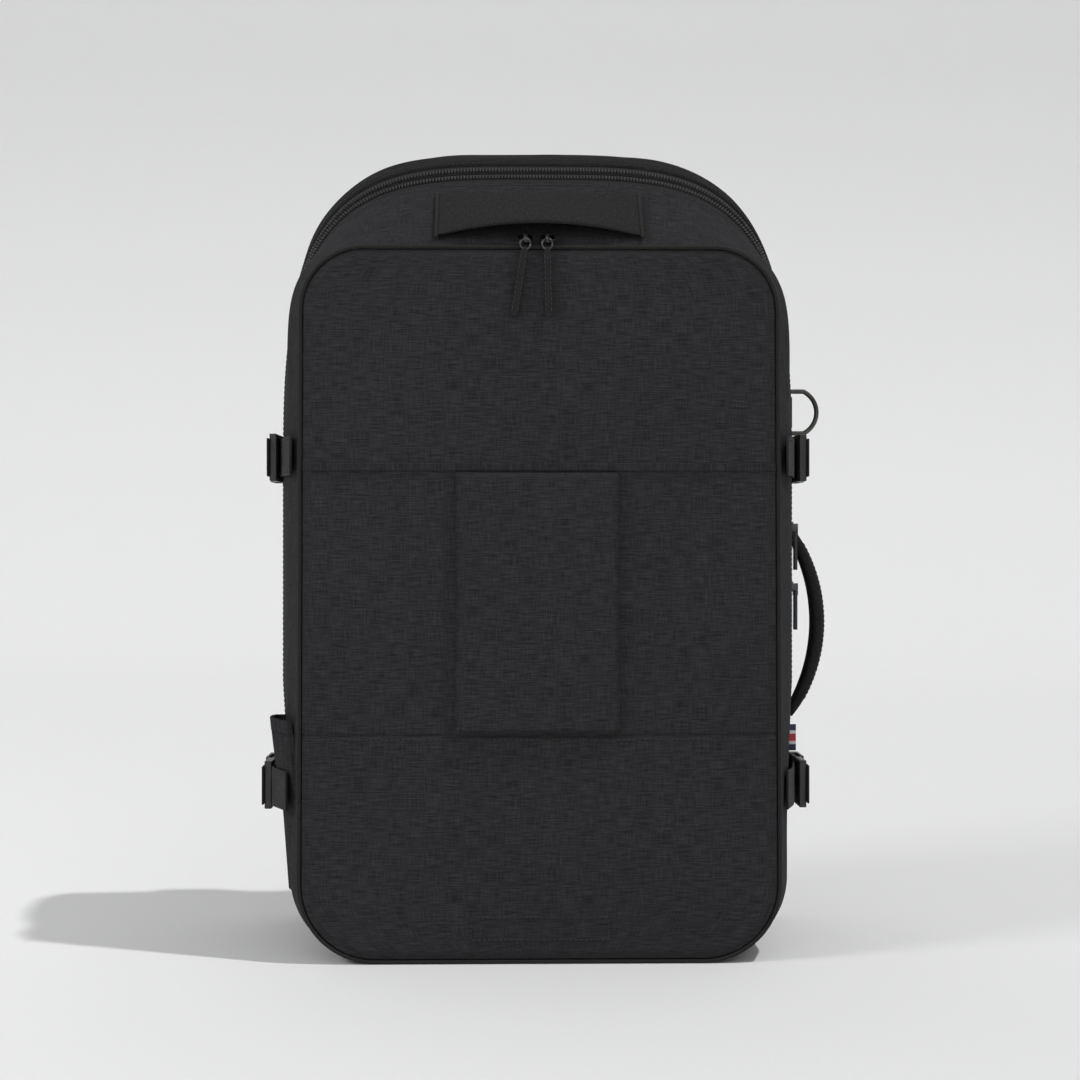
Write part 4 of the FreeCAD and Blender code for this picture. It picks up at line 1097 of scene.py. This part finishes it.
fronts, rears, front_rows, rear_rows = [], [], [], []
for corner in CORNERS:
    side = 1 if corner.endswith("right") else -1
    lift = 0.0032 if corner == "lower_left" else 0.0
    z = STRAP_Z[corner]
    if lift:
        route = [(0.0125, 0.1603), (0.0395, 0.1723), (0.065, STRAP_X + lift), (0.0685, STRAP_X + lift)]
    else:
        route = [(0.0135, 0.1578), (0.034, 0.1642), (0.065, STRAP_X), (0.0685, STRAP_X)]
    piece, path, out = strap("front " + corner, route, z, side)
    fronts.append(piece)
    front_rows += [((path + out * 0.0009)[3:12] + [0, 0, s * 0.0105], out[3:12]) for s in (-1, 1)]
    route = [(0.0945, STRAP_X + lift + 0.0002), (0.130, STRAP_X + lift + 0.0001), (0.157, STRAP_X)]
    piece, path, out = strap("rear " + corner, route, z, side)
    rears.append(piece)
    rear_rows += [((path + out * 0.0009)[-14:-2] + [0, 0, s * 0.0105], out[-14:-2]) for s in (-1, 1)]
    base = STRAP_X + lift + 0.0065
    route = [(0.0630, base), (0.052, base + 0.0002), (0.0435, base)]
    piece, path, out = strap("tail " + corner, route, z, side, 24)
    settle(piece, WEBBING, "male_" + corner, "webbing", "strap_tail_" + corner)
    piece.name = "clip_strap_tail_" + corner
settle(merged_piece("front_straps", fronts), WEBBING, "lid", "webbing", "front_webbing")
settle(merged_piece("rear_straps", rears), WEBBING, "bag_back", "webbing", "rear_webbing")
stitches("front_strap_stitches", front_rows, "lid", "webbing")
stitches("rear_strap_stitches", rear_rows, "bag_back", "webbing")
print("clip straps", len(fronts) + len(rears))

# %% [markdown]
# ## Bottle pocket
# A pouch of the same cloth is sewn to the lid's left side. Its upper edge is gathered by an elastic in a
# narrow hem, so the cloth puckers just under it. The pouch is a grid of heights by places round its
# front, side and back. The pucker is a wave round the pocket that fades downwards.

# %% Bottle pocket
POUCH_Z0, POUCH_Z1, HEM_TALL = 0.042, 0.153, 0.008


def pouch_plan(z):
    """(depth, x) points of the pouch's plan at heights z (n,): in to the front corner, out, and in behind."""
    waist = 0.1225
    x_out = np.interp(z, [POUCH_Z0, 0.0955, waist, POUCH_Z1], [0.1635, 0.1675, 0.172, 0.175])[:, None]
    depth = np.array([0.0135, 0.0135, 0.026, 0.040, 0.050, 0.0555, 0.0600, 0.0615])
    inwards = np.array([0.0170, 0.0125, 0.0052, 0.0004, 0.0, 0.0004, 0.0016, 0.0095])
    d = np.broadcast_to(depth, (len(z), len(depth)))
    x = x_out - inwards
    fine = np.linspace(0, len(depth) - 1, 91)
    dense = np.arange(len(depth))
    d = np.stack([np.interp(fine, dense, row) for row in d])
    x = np.stack([np.interp(fine, dense, row) for row in x])
    for _ in range(14):
        d[:, 1:-1] = (d[:, :-2] + 2 * d[:, 1:-1] + d[:, 2:]) / 4
        x[:, 1:-1] = (x[:, :-2] + 2 * x[:, 1:-1] + x[:, 2:]) / 4
    return d, x


PUCKERS = 13               # waves round the gathered hem


def pouch(name, z, grow, pucker):
    """A band of the pouch between heights z, moved out by grow and puckered by a wave round it."""
    d, x = pouch_plan(z)
    around = np.linspace(0, 1, d.shape[1])
    free = smooth(0, 0.15, around) * smooth(1, 0.85, around)
    x = x + grow + pucker(z)[:, None] * np.sin(around * 2 * math.pi * PUCKERS + 0.7) * free
    grid = np.stack([-x, FRONT_Y + d, np.broadcast_to(z[:, None], d.shape)], -1)
    return cloth_grid(name, grid, heart=BAG_HEART)


z = np.linspace(POUCH_Z0, POUCH_Z1 - HEM_TALL, 60)
bottle = pouch("bottle_pocket_cloth", z, -0.0004, lambda v: 0.0007 * smooth(0.115, 0.145, v))
settle(thicken(bottle, 0.0011), MELANGE, "lid", "melange_fabric", "bottle_pocket")
z = np.linspace(POUCH_Z1 - HEM_TALL - 0.0004, POUCH_Z1, 14)
elastic = pouch("bottle_pocket_elastic", z, 0.0, lambda v: 0.0005 * np.ones_like(v))
settle(thicken(elastic, 0.0016), MELANGE, "lid", "melange_fabric", "bottle_pocket_hem")
print("bottle pocket", round(POUCH_Z1 - POUCH_Z0, 3), "m tall")

# %% [markdown]
# ## D-ring loop and the woven tab
# The loop is webbing folded round the ring's straight bar and sewn down behind it. The tab is a small
# folded label. Its weave is plain stripes in navy, white and red, which a greater-than test on one
# coordinate makes.

# %% Loop and tab
RING_X, LOOP_Z0, LOOP_Z1 = SIDE_X + 0.0036, 0.3452, 0.3664
LOOP_R = 0.00265
tail_xy = np.stack([np.full(12, SIDE_X + 0.0011), np.linspace(HANDLE_Y + 0.004, HANDLE_Y + 0.0278, 12)], -1)
turn = (np.linspace(1.15, -1.6, 24) * math.pi)[:20]
bend_xy = np.stack([RING_X + LOOP_R * np.cos(turn), HANDLE_Y + LOOP_R * np.sin(turn)], -1)
plan = np.concatenate([tail_xy[::-1], bend_xy])
path = np.stack([plan[:, 0], plan[:, 1], np.full(len(plan), (LOOP_Z0 + LOOP_Z1) / 2)], -1)
tangent = np.gradient(path, axis=0)
out = np.cross(tangent, [0.0, 0.0, 1.0])
out /= np.linalg.norm(out, axis=-1, keepdims=True)
loop_bar = rounded_bar(LOOP_Z1 - LOOP_Z0, 0.0012, 0.0004)
loop = closed_grid("ring_loop", carried(path, [0.0, 0.0, 1.0], out, loop_bar))
settle(loop, WEBBING, "bag_back", "webbing", "d_ring_loop")


def striped_tab():
    """Woven stripes along Object z: navy ends, white lines and a red middle, over a fine rib."""
    finish, tree, shader = new_finish("striped tab", 0.75, sheen=0.2)
    place = place_socket(tree, False)
    split = tree.nodes.new("ShaderNodeSeparateXYZ")
    tree.links.new(place, split.inputs[0])
    low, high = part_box("side_tab")
    spread = tree.nodes.new("ShaderNodeMapRange")
    tree.links.new(split.outputs[2], spread.inputs["Value"])
    spread.inputs["From Min"].default_value, spread.inputs["From Max"].default_value = low.z, high.z
    navy, white, red = (0.012, 0.018, 0.06), (0.55, 0.55, 0.56), (0.38, 0.022, 0.03)
    stops = [(0.0, navy), (0.24, white), (0.36, red), (0.64, white), (0.76, navy)]
    coloured(tree, shader, spread.outputs[0], stops).color_ramp.interpolation = "CONSTANT"
    yarn = stretched_noise(tree, place, (900.0, 900.0, 1500.0))
    bumped(tree, shader, yarn, 0.0001)
    return finish


low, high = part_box("side_tab")
t = np.linspace(0, 1, 16)
path = np.stack([SIDE_X - 0.001 + t * (high.x - SIDE_X + 0.001), (low.y + high.y) / 2 + 0.0012 * t ** 2,
                 np.full(16, (low.z + high.z) / 2)], -1)
tab_bar = rounded_bar(high.z - low.z, 0.0009, 0.0003)
tab = closed_grid("woven_side_tab", carried(path, [0, 0, 1], [0, 1, 0], tab_bar))
settle(tab, striped_tab(), "bag_back", "woven_tab", "side_tab")
print("tab", [round(v, 4) for v in (low.z, high.z)])

# %% [markdown]
# ## Fabric pulls on the front sliders
# Each front slider has a split ring and a short loop of folded tape, sewn flat, that hangs by its own
# weight. The frame gives the slant of each pull, so the path runs from the ring's foot to the pull's end.

# %% Fabric pulls
def fabric_pull(which):
    """A folded tape hung in the plane of its CAD solid: a soft bar with a waist near its top."""
    mesh = frame["nodes"]["front_pull_" + which].data
    co = np.array([v.co for v in mesh.vertices])
    middle = co.mean(0)
    long = np.linalg.svd(co - middle, full_matrices=False)[2][0]
    long *= -np.sign(long[2])
    reach = (co - middle) @ long
    flat = np.cross(long, [1.0, 0.0, 0.0])
    flat /= np.linalg.norm(flat)
    flat *= -np.sign(flat[1])
    side = np.cross(flat, long)
    t = np.linspace(0, 1, 40)
    path = middle + (reach.min() + 0.0004 + (reach.max() - reach.min() - 0.0008) * t)[:, None] * long
    width = 0.0049 - 0.0016 * (1 - smooth(0.0, 0.10, t)) + 0.0002 * np.sin(t * 9)
    bars = np.stack([soft_bar(w, 0.0017, 20, 3.0) for w in width])
    piece = closed_grid("fabric_pull_" + which, carried(path, side, flat, bars))
    settle(piece, SMOOTH_CLOTH, "front_pull_" + which, "melange_fabric", "front_pull_" + which)
    rows = [(path[4:-3] + flat * 0.0009 + side * s * 0.0017, flat) for s in (-1, 1)]
    stitches("pull_stitches_" + which, rows, "front_pull_" + which)


for which in ("left", "right"):
    fabric_pull(which)
print("fabric pulls done")

# %% [markdown]
# ## Front zip and the lining inside
# Behind the flap's edge runs a hidden zip. One tape is sewn to the flap and one to the bag, each along
# the panel's outline, with a coil between them. They show when the flap is folded down.

# %% Front zip behind the flap
def outline_tape(name, inset0, inset1, depth, low_h, body, stands_for, coil_inset):
    """A flat tape that follows the panel's outline above a height, between two insets, with its coil."""
    rings = [panel_ring(i, depth)[0] for i in np.linspace(inset0, inset1, 5)]
    columns = np.where(rings[0][:, 2] > low_h)[0]
    grid = np.stack([r[columns] for r in rings])
    tape = thicken(cloth_grid(name + "_tape", grid, heart=BAG_HEART), 0.0009)
    settle(tape, ZIP_TAPE, body, "zip", stands_for)
    edge, inwards = panel_ring(coil_inset, depth + (0.0004 if body == "lid" else 0.0008))
    place, along, up = evenly(edge[columns], ZIP_PITCH, inwards[columns])
    coil = capsules(name + "_coil", place, up, np.broadcast_to(PANEL_BACK, up.shape), 0.0036, 0.0006)
    settle(coil, COIL, body, "zip")


outline_tape("flap_zip", 0.0055, 0.0130, 0.0031, HEM_HIGH + 0.007, "front_flap", "front_zip_flap", 0.0062)
outline_tape("pocket_zip", 0.0036, 0.0088, 0.0046, HEM_HIGH + 0.001, "lid", "front_zip_lid", 0.0082)


def lining_wall(cad, name, body, seams, seed, pocket_rows=()):
    """A quilted cloth wall in the box of a CAD node: its outline is the bag's, its face has soft channels."""
    low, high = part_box(cad)
    mid = (low.y + high.y) / 2
    depth = mid - FRONT_Y
    ring = skin([depth], inset=0.0036)[0]
    half = ring[:HALF_STEPS]
    z = np.linspace(max(low.z, 0.0034), high.z - 0.0002, 120)
    order = np.argsort(half[:, 2])
    w = np.interp(z, half[order, 2], half[order, 0])
    u = np.linspace(-1, 1, 141)
    x = w[:, None] * u
    tall = np.broadcast_to(z[:, None], x.shape)
    from_edge = (1 - np.abs(u)) * w[:, None]
    quilted = 1 - sum(np.exp(-((x - s) / 0.003) ** 2) for s in seams)
    puff = 0.0007 * quilted * smooth(0, 0.02, from_edge)
    puff = puff + ripples(x, tall, seed, 0.0003)
    for row, deep in pocket_rows:
        puff = puff + deep * (1 - smooth(row - 0.002, row + 0.0015, tall)) * smooth(0, 0.01, from_edge)
    thick = (high.y - low.y) * 0.5
    grid = np.stack([x, mid - thick * 0.35 - puff, tall], -1)
    piece = thicken(cloth_grid(name, grid, heart=np.array([0, 1.0, 0.26])), thick)
    return settle(piece, LINING, body, "lining", cad)


lining_wall("organiser_wall", "organiser_lining", "lid", (-0.06, 0.06), 41, ((0.19, 0.0012), (0.30, 0.0007)))
lining_wall("laptop_divider", "laptop_sleeve_wall", "bag_back", (-0.1, -0.033, 0.033, 0.1), 42)
print("linings done")

# %% [markdown]
# ## Stuffed pads
# The pads that touch the wearer are foam in cloth, so they are crowned and their edges are full. Cloth
# simulation makes that shape: the block is remeshed into small even faces, blown up from inside with no
# gravity, and stopped after a few frames. A cap on how far a point may move keeps each pad in its place.
# The block starts a little smaller, because it swells. Sewn channels are pressed in afterwards.

# %% Stuffing by simulation
def stuffed(cad, name, finish, shrink, cap, channels=(), voxel=0.005):
    """A pad blown up from its CAD block, with each point's move limited to cap, then smoothed once."""
    body, source = body_of[cad], frame["nodes"][cad]
    work = bmesh.new()
    work.from_mesh(source.data)
    bmesh.ops.remove_doubles(work, verts=work.verts, dist=2e-6)
    mesh = bpy.data.meshes.new(name)
    work.to_mesh(mesh)
    work.free()
    co = np.zeros(len(mesh.vertices) * 3)
    mesh.vertices.foreach_get("co", co)
    co = co.reshape(-1, 3)
    low, high = co.min(0), co.max(0)
    middle, size = (low + high) / 2, high - low
    co = middle + (co - middle) * (size - 2 * np.array(shrink)) / size
    mesh.vertices.foreach_set("co", co.ravel())
    pad = bpy.data.objects.new(name, mesh)
    bpy.context.scene.collection.objects.link(pad)
    remesh = pad.modifiers.new("even faces", "REMESH")
    remesh.mode = "VOXEL"
    remesh.voxel_size = voxel
    ease = pad.modifiers.new("ease the steps", "SMOOTH")
    ease.factor, ease.iterations = 0.5, 6
    bake_modifiers(pad)
    before = mesh_points(pad)
    blow = pad.modifiers.new("blow", "CLOTH")
    blow.settings.use_pressure = True
    blow.settings.uniform_pressure_force = 4.0
    blow.settings.effector_weights.gravity = 0.0
    blow.settings.quality = 5
    blow.point_cache.frame_start, blow.point_cache.frame_end = 1, 20
    scene = bpy.context.scene
    for number in range(1, 21):
        scene.frame_set(number)
    bake_modifiers(pad)
    scene.frame_set(1)
    after = mesh_points(pad)
    move = after - before
    far = np.linalg.norm(move, axis=-1, keepdims=True)
    move *= np.minimum(1.0, cap / np.maximum(far, 1e-9))
    co = before + move
    back = co[:, 1] < low[1] + 0.0004
    co[back, 1] = low[1] + 0.0004
    for axis, at, deep, wide in channels:
        face = smooth(middle[1], high[1], co[:, 1])
        co[:, 1] -= deep * np.exp(-((co[:, axis] - at) / wide) ** 2) * face
    co = np.clip(co, low - [0.004, 0, 0.004], high + [0.004, 0.003, 0.004])
    pad.data.vertices.foreach_set("co", co.ravel())
    pad.data.polygons.foreach_set("use_smooth", np.full(len(pad.data.polygons), True))
    finer = pad.modifiers.new("finer", "SUBSURF")
    finer.levels = finer.render_levels = 1
    bake_modifiers(pad)
    settle(pad, finish, body, "mesh_padding", cad)
    return pad, low, high


def bake_modifiers(piece):
    """Replaces a piece's mesh by what its modifiers give, and drops them."""
    depsgraph = bpy.context.evaluated_depsgraph_get()
    baked = bpy.data.meshes.new_from_object(piece.evaluated_get(depsgraph), depsgraph=depsgraph)
    piece.modifiers.clear()
    piece.data = baked


def mesh_points(piece):
    """The points of a mesh as an array (n, 3)."""
    co = np.zeros(len(piece.data.vertices) * 3)
    piece.data.vertices.foreach_get("co", co)
    return co.reshape(-1, 3)


PAD_CHANNELS = [(2, h, 0.0035, 0.0035) for h in (0.252, 0.315, 0.378)]
for which in ("right", "left"):
    stuffed("back_pad_" + which, "back_padding_" + which, SPACER, (0.003, 0.0015, 0.003), 0.006,
            PAD_CHANNELS)
stuffed("lumbar_pad", "lumbar_padding", SPACER, (0.003, 0.0015, 0.003), 0.006,
        [(0, x, 0.0035, 0.0035) for x in (-0.045, 0.045)])
for which in ("right", "left"):
    stuffed("shoulder_pad_" + which, "shoulder_padding_" + which, SPACER, (0.002, 0.0015, 0.0), 0.005)
stuffed("strap_yoke", "yoke_padding", PAD_CLOTH, (0.001, 0.0015, 0.0), 0.003, voxel=0.004)
print("pads stuffed")

# %% [markdown]
# ### Lower webbing and anchors
# The shoulder straps end in a ladder lock and a run of webbing that goes to a wing of cloth in the
# bag's lower corner. The wing is sewn flat, so it is a thin sheet with a bound edge.

# %% Lower webbing and anchor wings
for which, side in (("right", 1), ("left", -1)):
    top, low = np.array([0.088 * side, 0.0892, 0.1648]), np.array([0.135 * side, 0.0892, 0.0862])
    across = np.cross(low - top, [0.0, 1.0, 0.0])
    across /= np.linalg.norm(across)
    path = line(top, low, 30)
    grid = carried(path, across, [0, 1, 0], rounded_bar(STRAP_W, 0.0014, 0.0006))
    piece = closed_grid("shoulder_webbing_" + which, grid)
    settle(piece, WEBBING, "shoulder_strap_" + which, "webbing", "lower_webbing_" + which)
    corners = np.array([(0.117, 0.080), (0.145, 0.084), (0.1655, 0.068), (0.1655, 0.050), (0.133, 0.046)])
    around = np.concatenate([corners, corners[:1]])
    x, z = walked_evenly(around[:, 0], around[:, 1], 61)
    shrink = np.linspace(1.0, 0.02, 12)[:, None]
    cx, cz = corners.mean(0)
    y = 0.0781 - 0.0012 * smooth(0.85, 1.0, shrink) + 0 * x
    grid = np.stack([(cx + (x[:-1] - cx) * shrink) * side, y[:, :-1], cz + (z[:-1] - cz) * shrink], -1)
    wing = cloth_grid("anchor_wing_" + which, grid, wrap=True, heart=np.array([0.0, -1.0, 0.06]))
    settle(thicken(wing, 0.0022), PAD_CLOTH, "bag_back", "melange_fabric", "strap_anchor_" + which)
    tab_path = line([0.131 * side, 0.0797, 0.0885], [0.1445 * side, 0.0790, 0.0650], 16)
    grid = carried(tab_path, across, [0, 1, 0], rounded_bar(STRAP_W, 0.0013, 0.0005))
    tab = closed_grid("anchor_tab_" + which, grid)
    settle(tab, WEBBING, "bag_back", "webbing")
    row = line([0.138 * side, 0.0804, 0.083], [0.1475 * side, 0.0799, 0.067])
    stitches("anchor_stitches_" + which, [(row, [0, 1, 0])], "bag_back")
print("shoulder webbing done")

# %% [markdown]
# ## Light, floor and camera
# A pale sweep makes floor and backdrop one surface. The key light comes steeply from the right, a little
# from the front, and is small enough to draw the shadow of the bag and of its pulls. A large soft light
# fills the left. The surroundings are brighter at the horizon than overhead, and dimmer to both sides, so
# the bag's sides stay dark. The camera is level, and looks at the bag's front from a touch
# to its left.

# %% Stage
def sweep():
    """Floor that curves up into a backdrop: straight, a quarter circle, then straight up."""
    radius, behind, reach = 1.6, 2.6, 9.0
    arc = np.linspace(0, math.pi / 2, 40)
    y = np.concatenate([[-6.0, -3.0, 0.0], behind + radius * np.sin(arc), [behind + radius]])
    z = np.concatenate([[0.0, 0.0, 0.0], radius - radius * np.cos(arc), [7.0]])
    x = np.linspace(-reach, reach, 25)
    return np.stack(np.broadcast_arrays(x[None, :], y[:, None], z[:, None]), -1)


floor = cloth_grid("studio_sweep", sweep(), heart=np.array([0.0, 6.0, -4.0]))
paper, tree, shader = new_finish("backdrop paper", 0.9, specular=0.1)
mottle = stretched_noise(tree, place_socket(tree, False), (700.0,) * 3, detail=1.0)
coloured(tree, shader, mottle, [(0.3, 0.83), (0.7, 0.86)])
floor.data.materials.append(paper)


def lamp(name, kind, place, target, energy, size):
    """A light at a place, turned to a target."""
    data = bpy.data.lights.new(name, kind)
    data.energy = energy
    if kind == "SUN":
        data.angle = size
    else:
        data.size = size
    made = bpy.data.objects.new(name, data)
    made.location = place
    made.rotation_euler = (Vector(target) - Vector(place)).to_track_quat("-Z", "Y").to_euler()
    bpy.context.scene.collection.objects.link(made)
    return made


lamp("key", "SUN", (0.94, -0.34, 2.1), (0, 0, 0), 1.35, math.radians(1.8))
lamp("soft", "AREA", (-2.2, -1.2, 1.7), (0, 0, 0.25), 22.0, 0.8)
HORIZON_LIGHT, ZENITH_LIGHT, SIDE_LOSS = 1.13, 0.34, 0.9
world = bpy.data.worlds.new("surroundings")
bpy.context.scene.world = world
world.use_nodes = True
sky = world.node_tree
background = sky.nodes["Background"]
background.inputs["Color"].default_value = (0.985, 0.99, 1.0, 1.0)
split = sky.nodes.new("ShaderNodeSeparateXYZ")
sky.links.new(sky.nodes.new("ShaderNodeTexCoord").outputs["Generated"], split.inputs[0])
fade = sky.nodes.new("ShaderNodeMapRange")
sky.links.new(split.outputs[2], fade.inputs["Value"])
fade.inputs["To Min"].default_value, fade.inputs["To Max"].default_value = HORIZON_LIGHT, ZENITH_LIGHT
beside = scaled(sky, split.outputs[0], split.outputs[0])
kept = math_node(sky, "SUBTRACT", 1.0, scaled(sky, beside, SIDE_LOSS))
sky.links.new(scaled(sky, fade.outputs[0], kept), background.inputs["Strength"])
bpy.context.scene.view_settings.view_transform = "Standard"

CAMERA_Y, CAMERA_Z, CAMERA_AIM = -1.370, 0.268, math.radians(1.1)
lens = bpy.data.cameras.new("camera")
lens.lens, lens.sensor_width = 66.8, 36.0
camera = bpy.data.objects.new("camera", lens)
camera.location = (-math.tan(CAMERA_AIM) * (-CAMERA_Y + FRONT_Y), CAMERA_Y, CAMERA_Z)
camera.rotation_euler = (math.pi / 2, 0.0, -CAMERA_AIM)
bpy.context.scene.collection.objects.link(camera)
bpy.context.scene.camera = camera
print("camera", [round(v, 3) for v in camera.location])
